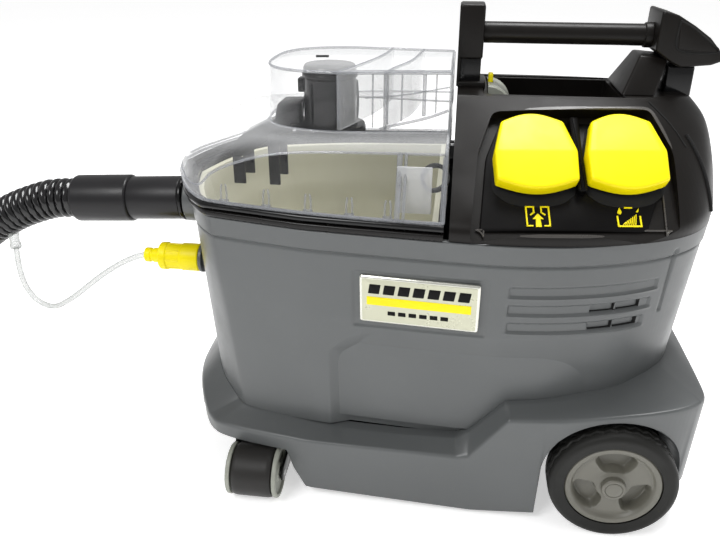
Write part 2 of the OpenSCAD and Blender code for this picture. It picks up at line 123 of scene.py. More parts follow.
def moulded(name, color, rough, grain=900.0, depth=0.00006, **sockets):
    """Injection-moulded plastic: fine grain, slow tone changes, rubbed patches and faint dust."""
    p = Paint(name, color, rough, **sockets)
    p.tint(p.noise(9.0, 5.0), 0.42, 0.72, 0.35, 0.8)
    p.tint(p.noise(70.0, 6.0, 0.7), 0.55, 0.8, 0.25, 1.25)
    p.vary_rough(p.noise(22.0, 6.0, 0.7), 0.07)
    p.bump(p.noise(grain, 2.0), 0.35, depth)
    p.bump(p.noise(30.0, 2.0), 0.12, 0.0004)
    return p.mat


def clear_plastic(name, color, face_alpha, edge_alpha, rough=0.06):
    """Thin clear plastic: nearly open face on, brighter and denser towards its edges."""
    p = Paint(name, color, rough, IOR=1.5)
    facing = p.node("ShaderNodeLayerWeight", Blend=0.35).outputs["Facing"]
    alpha = p.ramp(facing, 0.1, 1.0, face_alpha, edge_alpha)
    smear = p.ramp(p.noise(40.0, 5.0, 0.7), 0.45, 0.75, 0.0, 0.02)
    total = p.node("ShaderNodeMath")
    p.tree.links.new(alpha, total.inputs[0])
    p.tree.links.new(smear, total.inputs[1])
    p.tree.links.new(total.outputs[0], p.bsdf.inputs["Alpha"])
    p.vary_rough(p.noise(60.0, 5.0), 0.03)
    p.bump(p.noise(45.0, 2.0), 0.12, 0.0001)
    return p.mat


GREY = moulded("body_grey", (0.083, 0.088, 0.089), 0.36, depth=0.00003)
COVER = moulded("cover_black", (0.0065, 0.0055, 0.0048), 0.34, depth=0.00003,
                Specular_IOR_Level=0.17)
# A paler, glossier copy of the cover's black for the panel's frame beads: painted highlight on the recess's
# rim.
FRAME_HIGHLIGHT = moulded("frame_black_painted_highlight", (0.050, 0.046, 0.042), 0.28, depth=0.00003,
                Specular_IOR_Level=0.5)
# A darker copy of the cover's black: painted shade on the panel's recessed tray and divider bar; also the
# dark print marks on the badge.
PANEL_SHADE_AND_PRINT = moulded("panel_shade_and_print_black", (0.003, 0.0027, 0.0027), 0.40, depth=0.00003,
                Specular_IOR_Level=0.10)
GLOSS = moulded("gloss_black", (0.004, 0.004, 0.0043), 0.15, grain=700.0, depth=0.000006,
                Specular_IOR_Level=0.3)
# Flat black for painted shade: the vent openings' floors, the gaps under the switch caps, the cap's fine
# grooves and the cover's rear slots and seams.
PAINTED_SHADE = moulded("painted_shade_black", (0.001, 0.001, 0.001), 0.9)
SEAL = moulded("seal_black", (0.005, 0.0042, 0.004), 0.28, depth=0.00003,
               Specular_IOR_Level=0.25)
CUFF = moulded("cuff_black", (0.010, 0.0095, 0.0105), 0.36, grain=600.0, depth=0.00005,
               Specular_IOR_Level=0.3)
HOSE = moulded("hose_black", (0.004, 0.004, 0.0045), 0.16, grain=500.0, depth=0.00001)
YELLOW = moulded("yellow", (0.86, 0.72, 0.0), 0.4, depth=0.00001, Specular_IOR_Level=0.25)
CREAM = moulded("tank_cream", (0.52, 0.51, 0.40), 0.5, grain=300.0)
BAFFLE = clear_plastic("baffle_clear", (0.62, 0.63, 0.65), 0.35, 0.6, 0.3)
BADGE = moulded("badge_silver", (0.50, 0.50, 0.38), 0.3, depth=0.00002, Metallic=0.3)
BADGE_EDGE = moulded("badge_edge", (0.62, 0.62, 0.56), 0.22, Metallic=0.8)
TYRE = moulded("tyre_rubber", (0.008, 0.008, 0.0068), 0.55, grain=500.0, depth=0.0001,
               Specular_IOR_Level=0.25)
CASTER = moulded("caster_rubber", (0.014, 0.013, 0.012), 0.45, grain=500.0, depth=0.00005,
                 Specular_IOR_Level=0.3)
RIM = moulded("rim_grey", (0.120, 0.116, 0.095), 0.4)
PALE = moulded("pale_grey", (0.27, 0.28, 0.24), 0.45)
STEEL = moulded("steel", (0.55, 0.55, 0.55), 0.3, Metallic=1.0)
MOTOR = moulded("motor_metal", (0.35, 0.35, 0.35), 0.45, Metallic=0.9)
FLOAT = moulded("float_white", (0.7, 0.69, 0.62), 0.45)
LID = clear_plastic("lid_clear", (0.80, 0.81, 0.83), 0.04, 0.62)
LID_HAZE = clear_plastic("lid_haze", (0.78, 0.79, 0.80), 0.05, 0.55, 0.06)
# Darker, denser grey clear plastic for the lid's beads, posts and clips: painted shade for the dark outlines
# that clear plastic shows along its edges.
LID_EDGE = clear_plastic("lid_edge", (0.30, 0.31, 0.33), 0.42, 0.85)
TUBE = clear_plastic("tube_clear", (0.42, 0.44, 0.42), 0.40, 0.95, 0.08)


# ---------------------------------------------------------------- mesh tools
def add(name, verts, faces, mat, body="housing", slot=None, nodes=(), sharp=32.0, face_mats=None):
    """A mesh from millimetre points, shaded smooth up to the sharp angle, riding on a CAD body."""
    me = bpy.data.meshes.new(name)
    me.from_pydata((np.asarray(verts, float) * MM).tolist(), [], [tuple(map(int, f)) for f in faces])
    for m in (mat if isinstance(mat, (list, tuple)) else [mat]):
        me.materials.append(m)
    if face_mats is not None:
        me.polygons.foreach_set("material_index", np.asarray(face_mats, dtype=np.int32))
    me.validate()
    me.shade_smooth()
    me.set_sharp_from_angle(angle=math.radians(sharp))
    obj = bpy.data.objects.new(name, me)
    bpy.context.collection.objects.link(obj)
    finish_piece(obj, body, nodes)
    return obj


def finish_piece(obj, body, nodes):
    if body:
        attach(obj, body)
    if nodes:
        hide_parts(*nodes)


def outward(obj):
    """All faces of a closed mesh point out."""
    bm = bmesh.new()
    bm.from_mesh(obj.data)
    bmesh.ops.remove_doubles(bm, verts=bm.verts, dist=1e-7)
    bmesh.ops.recalc_face_normals(bm, faces=bm.faces)
    bm.to_mesh(obj.data)
    bm.free()
    return obj


def grid_faces(rows, cols, wrap_rows=False):
    faces = []
    for k in range(rows if wrap_rows else rows - 1):
        for i in range(cols):
            j, m = (i + 1) % cols, (k + 1) % rows
            faces.append((k * cols + i, k * cols + j, m * cols + j, m * cols + i))
    return faces


def loft(name, rings, mat, caps=(True, True), ring_mats=None, **kw):
    """Rings of equally many points, joined in order. ring_mats gives a material index per band."""
    pts = np.asarray(rings, float)
    m, n = pts.shape[:2]
    faces = grid_faces(m, n)
    mats = None
    if ring_mats is not None:
        mats = [ring_mats[k] for k in range(m - 1) for _ in range(n)]
    if caps[0]:
        faces.append(tuple(range(n - 1, -1, -1)))
    if caps[1]:
        faces.append(tuple((m - 1) * n + i for i in range(n)))
    if mats is not None:
        mats += [ring_mats[-1]] * (len(faces) - len(mats))
    return outward(add(name, pts.reshape(-1, 3), faces, mat, face_mats=mats, **kw))


def lathe(name, profile, mat, origin, axis, turns=96, closed=False, **kw):
    """A profile of (radius, along) points turned about an axis through origin."""
    axis = np.array(axis, float) / np.linalg.norm(axis)
    u = np.cross(axis, [0.0, 0.0, 1.0])
    u = np.array([1.0, 0.0, 0.0]) if np.linalg.norm(u) < 1e-6 else u / np.linalg.norm(u)
    v = np.cross(axis, u)
    ang = np.linspace(0, 2 * math.pi, turns, endpoint=False)[:, None]
    ring = np.cos(ang) * u + np.sin(ang) * v
    rings = [np.array(origin) + r * ring + a * axis for r, a in profile]
    if closed:
        rings.append(rings[0])
    return loft(name, rings, mat, caps=(not closed and profile[0][0] > 0, not closed and profile[-1][0] > 0),
                **kw)


def soften_profile(points, radius, steps=4):
    """Round the corners of an open (r, a) profile by a small radius."""
    p = [np.array(q, float) for q in points]
    out = [p[0]]
    for a, b, c in zip(p, p[1:], p[2:]):
        la, lc = np.linalg.norm(a - b), np.linalg.norm(c - b)
        r = min(radius, la * 0.45, lc * 0.45)
        s, e = b + (a - b) / la * r, b + (c - b) / lc * r
        for t in np.linspace(0, 1, steps + 1):
            out.append((1 - t) ** 2 * s + 2 * t * (1 - t) * b + t ** 2 * e)
    out.append(p[-1])
    return out


def rounded(poly, radius, steps=6):
    """A closed polygon with rounded corners."""
    p = [np.array(q, float) for q in poly]
    out = []
    for i, b in enumerate(p):
        a, c = p[i - 1], p[(i + 1) % len(p)]
        la, lc = np.linalg.norm(a - b), np.linalg.norm(c - b)
        r = min(radius, la * 0.45, lc * 0.45)
        s, e = b + (a - b) / la * r, b + (c - b) / lc * r
        for t in np.linspace(0, 1, steps + 1):
            out.append((1 - t) ** 2 * s + 2 * t * (1 - t) * b + t ** 2 * e)
    return np.array(out)


def chaikin(rows, passes):
    """Corner cutting of an open chain whose ends stay."""
    rows = np.asarray(rows, float)
    for _ in range(passes):
        cut = np.empty((2 * len(rows) - 2, rows.shape[1]))
        cut[0::2] = 0.75 * rows[:-1] + 0.25 * rows[1:]
        cut[1::2] = 0.25 * rows[:-1] + 0.75 * rows[1:]
        cut[0], cut[-1] = rows[0], rows[-1]
        rows = cut
    return rows


def resample(rows, count):
    """count rows, evenly spaced along the chain."""
    length = np.r_[0, np.cumsum(np.linalg.norm(np.diff(rows, axis=0), axis=1))]
    at = np.linspace(0, length[-1], count)
    return np.stack([np.interp(at, length, rows[:, k]) for k in range(rows.shape[1])], axis=1)


def whole(half):
    """A half outline, [x, distance from the centre plane], mirrored into a closed one, near side first."""
    near = np.stack([half[:, 0], -half[:, 1]], axis=1)
    far = half[::-1][half[::-1][:, 1] > 0.01]
    return np.vstack([near, far])


def normals2(ring):
    """Outward unit normals of a closed outline that runs anticlockwise seen from above."""
    t = np.roll(ring, -1, axis=0) - np.roll(ring, 1, axis=0)
    t /= np.linalg.norm(t, axis=1)[:, None]
    return np.stack([t[:, 1], -t[:, 0]], axis=1)


def at_z(ring, z):
    return np.column_stack([ring, np.broadcast_to(z, len(ring))])


def bevelled(name, verts, faces, mat, width, segments=3, **kw):
    """A closed mesh with its sharp edges rounded by a bevel."""
    me = bpy.data.meshes.new(name + "_raw")
    me.from_pydata([tuple(v) for v in verts], [], faces)
    bm = bmesh.new()
    bm.from_mesh(me)
    bmesh.ops.recalc_face_normals(bm, faces=bm.faces)
    edges = [e for e in bm.edges if len(e.link_faces) == 2 and e.calc_face_angle(0) > math.radians(20)]
    bmesh.ops.bevel(bm, geom=edges, offset=width, segments=segments, profile=0.5, affect="EDGES",
                    clamp_overlap=True)
    bm.verts.index_update()
    pts = [v.co[:] for v in bm.verts]
    fcs = [[v.index for v in f.verts] for f in bm.faces]
    bm.free()
    bpy.data.meshes.remove(me)
    return add(name, pts, fcs, mat, **kw)


BOX_FACES = [(0, 3, 2, 1), (4, 5, 6, 7), (0, 1, 5, 4), (1, 2, 6, 5), (2, 3, 7, 6), (3, 0, 4, 7)]


def box_points(lo, hi):
    (a, b, c), (d, e, f) = lo, hi
    return [(a, b, c), (d, b, c), (d, e, c), (a, e, c), (a, b, f), (d, b, f), (d, e, f), (a, e, f)]


def block(name, lo, hi, mat, width=1.0, place=None, **kw):
    pts = box_points(lo, hi)
    if place:
        pts = [place(*p) for p in pts]
    return bevelled(name, pts, BOX_FACES, mat, width, **kw)


def prism_y(name, profile, y0, y1, mat, width=1.0, **kw):
    """A profile in x and z, extruded across the machine."""
    n = len(profile)
    pts = [(x, y0, z) for x, z in profile] + [(x, y1, z) for x, z in profile]
    faces = [tuple(range(n)), tuple(range(2 * n - 1, n - 1, -1))]
    faces += [(i, i + n, (i + 1) % n + n, (i + 1) % n) for i in range(n)]
    return bevelled(name, pts, faces, mat, width, **kw)


def tube_rings(path, radius, sides):
    """Rings along a path. radius is a number, or a function of (distance along, angle)."""
    path = np.asarray(path, float)
    t = np.gradient(path, axis=0)
    t /= np.linalg.norm(t, axis=1)[:, None]
    dist = np.r_[0, np.cumsum(np.linalg.norm(np.diff(path, axis=0), axis=1))]
    ang = np.linspace(0, 2 * math.pi, sides, endpoint=False)
    u = np.cross(t[0], (0, 1, 0.3))
    rings = []
    for p, d, s in zip(path, t, dist):
        u = u - d * (u @ d)
        u /= np.linalg.norm(u)
        w = np.cross(d, u)
        r = radius(s, ang) if callable(radius) else np.full(sides, radius)
        rings.append(p + r[:, None] * (np.cos(ang)[:, None] * u + np.sin(ang)[:, None] * w))
    return np.array(rings)


def wire(name, path, radius, mat, sides=10, closed=False, **kw):
    path = np.asarray(path, float)
    if closed:
        path = np.vstack([path, path[:1]])
    return loft(name, tube_rings(path, radius, sides), mat, caps=(not closed, not closed), **kw)


def smooth_path(points, spacing):
    """A centripetal curve through the points, sampled evenly."""
    p = np.asarray(points, float)
    p = np.vstack([2 * p[0] - p[1], p, 2 * p[-1] - p[-2]])
    out = []
    for a, b, c, d in zip(p, p[1:], p[2:], p[3:]):
        for t in np.linspace(0, 1, 24, endpoint=False):
            out.append(0.5 * (2 * b + (c - a) * t + (2 * a - 5 * b + 4 * c - d) * t ** 2
                              + (3 * b - a - 3 * c + d) * t ** 3))
    out.append(p[-2])
    out = np.array(out)
    length = np.linalg.norm(np.diff(out, axis=0), axis=1).sum()
    return resample(out, max(3, int(round(length / spacing)) + 1))


def cut(obj, *cutters):
    """Exact booleans: the cutters are taken out of obj and removed."""
    for c in cutters:
        m = obj.modifiers.new("cut", "BOOLEAN")
        m.operation, m.solver, m.object = "DIFFERENCE", "EXACT", c
        apply_all(obj)
        bpy.data.objects.remove(c)
    obj.data.set_sharp_from_angle(angle=math.radians(32))
    return obj


def keep_inside(obj, shell):
    m = obj.modifiers.new("keep", "BOOLEAN")
    m.operation, m.solver, m.object = "INTERSECT", "EXACT", shell
    apply_all(obj)
    bpy.data.objects.remove(shell)
    obj.data.set_sharp_from_angle(angle=math.radians(32))
    return obj


def apply_all(obj):
    bpy.context.view_layer.update()
    graph = bpy.context.evaluated_depsgraph_get()
    new = bpy.data.meshes.new_from_object(obj.evaluated_get(graph))
    obj.modifiers.clear()
    obj.data = new


def smoothstep(v):
    v = np.clip(v, 0, 1)
    return v * v * (3 - 2 * v)


def rise(v, at, width=1.4):
    """0 below at, 1 above it."""
    return smoothstep((v - at) / width + 0.5)


def slab(v, lo, hi, width=1.4):
    return rise(v, lo, width) * (1 - rise(v, hi, width))


# ---------------------------------------------------------------- hoses first
HOSE_D = 42.0
CUFF_END = np.array([-368.0, 0.0, 241.0])
COIL_C = np.array([-770.0, -80.0])
ROUTE = [CUFF_END, (-384, 0, 239.8), (-402, 0, 237), (-440, 0, 223), (-480, 4, 200), (-518, 17, 170),
         (-555, 38, 133), (-592, 60, 98), (-628, 82, 69), (-664, 104, 48), (-697, 119, 35), (-733, 129, 26.5)]


def coil_points():
    """A flat spiral on the floor; its last half turn rolls up on to the turn outside it."""
    pts = []
    for t in np.arange(0, 1.501, 1 / 36):
        below = 212 - 43 * (t - 1 if t > 1 else 0)
        roll = math.pi / 2 * smoothstep((t - 1) / 0.3)
        radius = below - 43 * (math.cos(roll) if t > 1 else t)
        angle = math.radians(90 + 360 * t)
        pts.append((COIL_C[0] + radius * math.cos(angle), COIL_C[1] + radius * math.sin(angle),
                    22 + 46 * math.sin(roll)))
    return pts


def make_hose():
    pitch = 8.4
    path = smooth_path(ROUTE + coil_points(), pitch / 10)

    def radius(s, ang):
        phase = (s / pitch) % 1.0
        ridge = np.abs(np.sin(math.pi * phase)) ** 0.6
        end = min(1.0, s / 6)
        return 17.6 + (HOSE_D / 2 - 17.6) * ridge * (0.35 + 0.65 * end) * np.ones_like(ang)

    rings = tube_rings(path, radius, 36)
    hose = loft("suction_hose_ribbed", rings, HOSE, slot="hose", nodes=("suction_hose", "hose_coil"),
                sharp=60)
    return path


TUBE_ROUTE = [(-287, -28, 192), (-300, -28, 188), (-318, -28, 179), (-338, -27, 166), (-360, -26, 149),
              (-382, -25, 132), (-405, -22, 119), (-424, -18, 120), (-438, -14, 130), (-446, -10, 144),
              (-449, -7, 162), (-449, -5, 180)]


def make_tube():
    path = smooth_path(TUBE_ROUTE, 2.0)
    tube = loft("spray_tube_clear", tube_rings(path, 3.0, 20), TUBE, slot="tube_clear", nodes=("spray_tube",))


# ---------------------------------------------------------------- housing and skirt
# Half outlines, front centre to rear centre: housing at the skirt, housing at the rim, skirt
LOW_Z, RIM_Z = 80.0, 275.0
OUTLINES = [
    (-204, 0, -236, 0, -232, 0), (-203, 40, -230, 30, -231, 40), (-201, 70, -217.5, 62, -225, 68),
    (-190, 90, -205, 91, -216, 92), (-169, 112, -186, 115, -200, 121), (-161, 118, -176, 120, -182, 137),
    (-102, 127, -110, 135, -102, 151.5), (-84, 130, -90, 139, -84, 152.8), (40, 139, 50, 151, 40, 157),
    (88, 138, 95, 150, 88, 158), (125, 134, 135, 143, 130, 158), (170, 120, 178, 129, 185, 156),
    (205, 98, 214, 108, 232, 149), (224, 76, 240, 82, 255, 133), (234, 45, 253, 45, 257, 95),
    (236, 0, 256, 0, 257, 0)]
HALF = resample(chaikin(OUTLINES, 3), 540)
LOW, RIM_LINE, SKIRT = whole(HALF[:, 0:2]), whole(HALF[:, 2:4]), whole(HALF[:, 4:6])


def wall_at(z, proud=0.0):
    """The housing's outline at a height, moved out by proud."""
    t = np.clip((np.asarray(z, float) - LOW_Z) / (RIM_Z - LOW_Z), 0, 1)
    ring = LOW + (RIM_LINE - LOW) * (t[:, None] if t.ndim else t)
    return ring + normals2(ring) * proud


BARS = [(228, 237, 200), (211, 220, 196), (194, 203, 192)]     # bottom, top, right end of each long recess
VENTS = [(145, 165), (167, 187)]


def relief(x, y, z):
    """How far the housing's surface stands proud of its plain wall."""
    near = y < 0
    out = 1.1 * rise(z, 257, 1.8) - 0.9 * slab(z, 254.6, 256.6, 1.2)
    # Panel stepped back towards the skirt, ending at the badge's lower corner
    outer = np.interp(z, [82, 157, 184], [-76, -76, -47])
    inner = np.interp(z, [82, 152, 173, 184], [-59, -60, -44, -32])
    depth = 9.0 * np.clip((187 - z) / 45, 0, 1)
    out = out - depth * np.clip((x - outer) / (inner - outer), 0, 1) * (1 - rise(x, 150, 90))
    out = out - near * 1.3 * slab(x, -53, 60, 3) * slab(z, 187.5, 241.5, 3)
    for lo, hi, end in BARS:
        out = out - near * 1.8 * slab(x, 77, end, 1.6) * slab(z, lo, hi, 1.6)
        out = out + near * 0.5 * slab(x, 75, end + 2, 1.6) * (slab(z, lo - 2, lo, 1.6))
    for lo, hi, _ in BARS[1:]:
        for a, b in VENTS:
            out = out - near * 3.0 * slab(x, a, b, 1.0) * slab(z, lo + 1.2, hi - 1.0, 1.0)
    groove = 206 + (z - 205) * 0.06
    out = out - near * 1.8 * slab(x, groove, groove + 3, 1.6) * slab(z, 203, 262, 3)
    return out


def make_housing():
    zs = np.unique(np.r_[np.linspace(LOW_Z - 6, RIM_Z - 1.2, 176), RIM_Z - 0.4, RIM_Z])
    rings = []
    for z in zs:
        ring = wall_at(z)
        edge = 1.4 * max(0.0, (z - (RIM_Z - 1.2)) / 1.2) ** 2
        off = relief(ring[:, 0], ring[:, 1], z) - edge
        rings.append(at_z(ring + normals2(ring) * off[:, None], z))
    outer = len(rings)
    for z in (RIM_Z, RIM_Z - 30, RIM_Z - 100, LOW_Z + 3.5):
        rings.append(at_z(wall_at(z, -4.2), z))
    pts = np.array(rings)
    m, n = pts.shape[:2]
    faces = grid_faces(m, n)
    faces.append(tuple(range(n - 1, -1, -1)))
    faces.append(tuple((m - 1) * n + i for i in range(n)))
    flat = pts.reshape(-1, 3)
    mats = np.zeros(len(faces), int)
    # Faces at the floors of the vent openings take the flat black: painted shade inside the grille.
    for k, f in enumerate(faces[:outer * n]):
        x, y, z = flat[list(f)].mean(axis=0)
        if y < 0 and 140 < x < 190 and any(lo + 0.6 < z < hi - 0.4 for lo, hi, _ in BARS[1:]) \
                and any(a - 0.2 < x < b + 0.2 for a, b in VENTS):
            mats[k] = 1
    shell = outward(add("housing_shell", flat, faces, [GREY, PAINTED_SHADE], slot="body_grey",
                        nodes=("tank_housing", "vent_grille"), sharp=50, face_mats=mats))
    hole = lathe("hole", [(24.3, 0), (24.3, 42)], GREY, (-262, 0, 247), (1, 0, 0), 64, body=None)
    port = lathe("port", [(9.3, 0), (9.3, 37)], GREY, (-245, -28, 192), (1, 0, 0), 48, body=None)
    cut(shell, hole, port)


WHEEL_C, ARCH_R = np.array([181.0, 56.0]), 62.5


def skirt_heights(x):
    inner = np.interp(x, [-232, -228, -216, -200, -182, -165, -119, -77, -10, 42, 54, 82, 126, 166, 202, 216,
                          257],
                      [107, 103, 89, 79, 77, 76, 74, 72, 73, 76, 85, 119, 122.5, 127, 131, 134, 140])
    outer = np.interp(x, [-232, -225, -200, -180, -114, 44, 54, 86, 134, 186, 247, 257],
                      [78, 76, 64, 66, 68, 68, 70, 113, 117, 126, 135, 131])
    lower = np.interp(x, [-232, -208, -192, -116, -110, -99, 59, 114, 118.6, 243.4, 244.5, 257],
                      [47, 47, 51, 51, 30, 9, 4.5, 8.5, 9, 46, 45, 45])
    arch = np.abs(x - WHEEL_C[0]) < ARCH_R
    lift = WHEEL_C[1] + np.sqrt(np.clip(ARCH_R ** 2 - (x - WHEEL_C[0]) ** 2, 0, None))
    return inner, outer, np.where(arch, lift, lower), arch


def make_skirt():
    n2 = normals2(SKIRT)
    zi, zo, zl, arch = skirt_heights(SKIRT[:, 0])
    arch &= np.abs(SKIRT[:, 1]) > 128
    wall = wall_at(zi)
    wall_n = normals2(wall)
    inside, meet = wall - wall_n * 9, wall + wall_n * 0.6
    slope = (zi - zo)[:, None]
    run = np.linalg.norm(SKIRT - meet, axis=1)[:, None]
    toward = (SKIRT - meet) / run

    def ledge(d):
        """A ring on the ledge, d from the housing's wall."""
        f = np.minimum(d, run) / run
        z = zi[:, None] - slope * f
        return np.column_stack([meet + toward * run * f, z])

    rings = [at_z(inside, zi), np.column_stack([meet, zi])]
    rings += [ledge(np.minimum(run * f, run - 3)) for f in (0.06, 0.25, 0.5, 0.8)]
    start = ledge(run - 2.6)
    corner, below = at_z(SKIRT, zo), at_z(SKIRT, zo - 3)
    for t in np.linspace(0, 1, 7):
        rings.append((1 - t) ** 2 * start + 2 * t * (1 - t) * corner + t ** 2 * below)
    drop = (zo - 3 - zl)
    for f in np.linspace(0.08, 1, 12):
        draft = 3.0 * f * np.clip(drop / 60, 0, 1)
        z = zo - 3 - drop * f + (1.5 if f == 1 else 0)
        rings.append(at_z(SKIRT - n2 * draft[:, None], z))
    base = SKIRT - n2 * (3.0 * np.clip(drop / 60, 0, 1))[:, None]
    rings.append(at_z(base - n2 * 1.5, zl))
    deep = np.where(arch, 26.0, 4.0)[:, None]
    rings.append(at_z(base - n2 * deep, zl))
    rings.append(at_z(base - n2 * deep, np.maximum(zl + 2, np.minimum(zo - 10, zl + 20))))
    rings.append(at_z(inside, zi - 6))
    pts = np.array(rings)
    m, n = pts.shape[:2]
    outward(add("skirt_shell", pts.reshape(-1, 3), grid_faces(m, n, wrap_rows=True), GREY,
                slot="body_grey", nodes=("base_skirt",), sharp=38))


def panel_frame(ox, oy, oz, tilt, turn):
    """A local frame: u along, v up, n out, for things on the near side."""
    ct, st = math.cos(math.radians(turn)), math.sin(math.radians(turn))
    cs, ss = math.cos(math.radians(tilt)), math.sin(math.radians(tilt))

    def place(u, v, n):
        y, z = v * cs - n * ss, v * ss + n * cs
        return (ox + u * ct - y * st, oy + u * st + y * ct, oz + z)
    return place


def plate(name, outline, n0, n1, place, mat, edge=0.6, **kw):
    """A flat piece with a rounded front edge, between depths n0 and n1."""
    ring = np.asarray(outline, float)
    inner = ring - normals2(ring) * edge
    loops = [[place(u, v, n0) for u, v in ring], [place(u, v, n1 - edge) for u, v in ring],
             [place(u, v, n1 - edge * 0.3) for u, v in ring * 0.3 + inner * 0.7],
             [place(u, v, n1) for u, v in inner * 1.3 - ring * 0.3]]
    return loft(name, loops, mat, **kw)


def rect(u0, v0, u1, v1):
    return [(u0, v0), (u1, v0), (u1, v1), (u0, v1)]


def make_badge():
    place = panel_frame(3.5, -144.0, 215.5, 93, -4.7)
    plate("badge_plate_face", rounded(rect(-50.5, -22.5, 50.5, 22.5), 2.5), -1.4, 1.6, place, BADGE_EDGE, 1.2,
          slot="badge", nodes=("badge_plate",))
    plate("badge_field", rounded(rect(-48.3, -20.3, 48.3, 20.3), 1.5), 1.0, 1.9, place, BADGE, 0.2)
    plate("badge_stripe", rounded(rect(-44, -4.5, 44, 3.5), 0.4), 1.5, 2.2, place, YELLOW, 0.15)
    # Generic marks in place of words: a row of slanted tiles and a thin dashed rule
    for i in range(7):
        u = -43 + i * 12.6
        tile = [(u, 6.5), (u + 9.5, 6.5), (u + 11, 15.5), (u + 1.5, 15.5)]
        plate(f"badge_tile_{i}", rounded(tile, 0.6), 1.5, 2.15, place, PANEL_SHADE_AND_PRINT, 0.15)
    for i in range(6):
        u = -26 + i * 9
        plate(f"badge_dash_{i}", rounded(rect(u, -13.5, u + 6.5, -9.5), 0.5), 1.5, 2.1, place, PANEL_SHADE_AND_PRINT, 0.15)


# ---------------------------------------------------------------- lid and container
# Half lid outlines: foot, window top edge, shoulder, turret foot, turret top; x, y (and z for the edge)
LID_ROWS = [
    (-243, 0, -242, 0, 293, -188, 0, -149, 0, -146, 0),
    (-238, 30, -237, 30, 293, -186, 30, -147, 30, -145, 30),
    (-224, 62, -223, 61, 293, -188, 58, -137, 53, -134, 53),
    (-210, 90, -208, 88, 294, -180, 74, -114, 67, -112, 66.5),
    (-192, 112, -190, 110, 299, -160, 84, -86, 73, -84, 71.5),
    (-180, 119.5, -176, 117, 316, -140, 92, -68, 72, -67, 70.5),
    (-130, 130, -130, 120, 332, -100, 100, -56, 71, -55, 69.5),
    (-90, 138, -92, 121, 336, -72, 105, -46, 70, -45, 68.5),
    (-30, 144, -30, 122, 337.5, -25, 108, -20, 66, -20, 64.5),
    (21, 147, 21, 122, 338, 21, 109, 21, 62, 21, 61)]
LID_HALF = resample(chaikin(LID_ROWS, 3), 260)
FOOT_Z, SHOULDER_Z, TURRET_Z = 288.0, 339.0, 391.0


def lid_lines():
    h = LID_HALF
    edge_z = np.r_[h[:, 4], h[::-1][h[::-1][:, 3] > 0.01][:, 4]]
    return (whole(h[:, 0:2]), whole(h[:, 2:4]), edge_z, whole(h[:, 5:7]), whole(h[:, 7:9]), whole(h[:, 9:11]))


def make_lid():
    foot, edge, edge_z, shoulder, base, top = lid_lines()
    a, b, c = at_z(foot, FOOT_Z), at_z(edge, edge_z), at_z(shoulder, SHOULDER_Z)
    rings = [a, at_z(foot, FOOT_Z + 2)]
    for t in np.linspace(0.12, 1, 8):
        bow = 1.5 * math.sin(math.pi * t)
        ring = a + (b - a) * t
        ring[:, :2] += normals2(ring[:, :2]) * bow
        rings.append(ring)
    window = len(rings) - 1
    for t in np.linspace(0.12, 1, 8):
        ring = b + (c - b) * t
        crown = 0.15 * np.linalg.norm((c - b), axis=1) * math.sin(math.pi * t)
        nose = 1 - smoothstep((b[:, 0] + 200) / 70)
        ring[:, 2] += crown * (0.25 + 0.65 * nose)
        ring[:, :2] += normals2(ring[:, :2]) * (crown * (0.1 + 0.75 * nose))[:, None]
        rings.append(ring)
    rings.append(at_z(base + (shoulder - base) * 0.2, SHOULDER_Z + 0.5))
    shoulder_end = len(rings) - 1
    rings += [at_z(base, SHOULDER_Z + 2), at_z(base + (top - base) * 0.5, 365), at_z(top, TURRET_Z - 2)]
    inner = top - normals2(top) * 2
    rings += [at_z(top * 0.4 + inner * 0.6, TURRET_Z - 0.4), at_z(inner, TURRET_Z)]
    kinds = [0 if k < window else 1 if k < shoulder_end else 0 for k in range(len(rings) - 1)]
    kinds[-1] = 1
    loft("lid_shell", rings, [LID, LID_HAZE], caps=(False, True), ring_mats=kinds, body="lid",
         slot="lid_clear", nodes=("clear_lid",), sharp=40)
    # Edge beads in the darker clear plastic: painted shade for the dark outlines along the lid's edges.
    for side, keep in (("near", edge[:, 1] < -1), ("far", edge[:, 1] > 1)):
        pts = np.column_stack([edge, edge_z])[keep]
        pts = pts if side == "near" else pts[::-1]
        wire(f"lid_window_edge_{side}", pts[6::2], 1.1, LID_EDGE, 8, body="lid")
        run = at_z(foot, FOOT_Z + 1)[foot[:, 1] * (-1 if side == "near" else 1) > 1]
        wire(f"lid_foot_bead_{side}", run[::3], 1.6, LID_EDGE, 8, body="lid")
    wire("lid_turret_bead", at_z(top, TURRET_Z - 0.5)[::3], 1.3, LID_EDGE, 8, closed=True, body="lid")
    wire("lid_turret_foot", at_z(base, SHOULDER_Z + 1.5)[::3], 0.9, LID_EDGE, 8, closed=True, body="lid")
    for sy, tag in ((-1, "near"), (1, "far")):
        rear = [(20.5, 147 * sy, 289), (20.5, 125 * sy, 336), (20.5, 110 * sy, 339.5), (20.5, 64 * sy, 341),
                (20.5, 62 * sy, 390)]
        wire(f"lid_rear_edge_{tag}", smooth_path(rear, 4), 1.3, LID_EDGE, 8, body="lid")


# Curved walls under the turret top, near side to far side
PARTITIONS = [[(-75, -69), (-67, -47), (-53, -2), (-46, 30), (-41, 70)],
              [(-35, -66), (-28, -37), (-18, -5), (-13, 30), (-10, 66)]]


def wall_along(name, line, z0, z1, thick, mat, **kw):
    path = smooth_path([(x, y, 0) for x, y in line], 4)[:, :2]
    t = np.gradient(path, axis=0)
    t /= np.linalg.norm(t, axis=1)[:, None]
    side = np.stack([t[:, 1], -t[:, 0]], axis=1) * thick / 2
    loop = np.vstack([path + side, (path - side)[::-1]])
    return loft(name, [at_z(loop, z0), at_z(loop, z1)], mat, **kw)


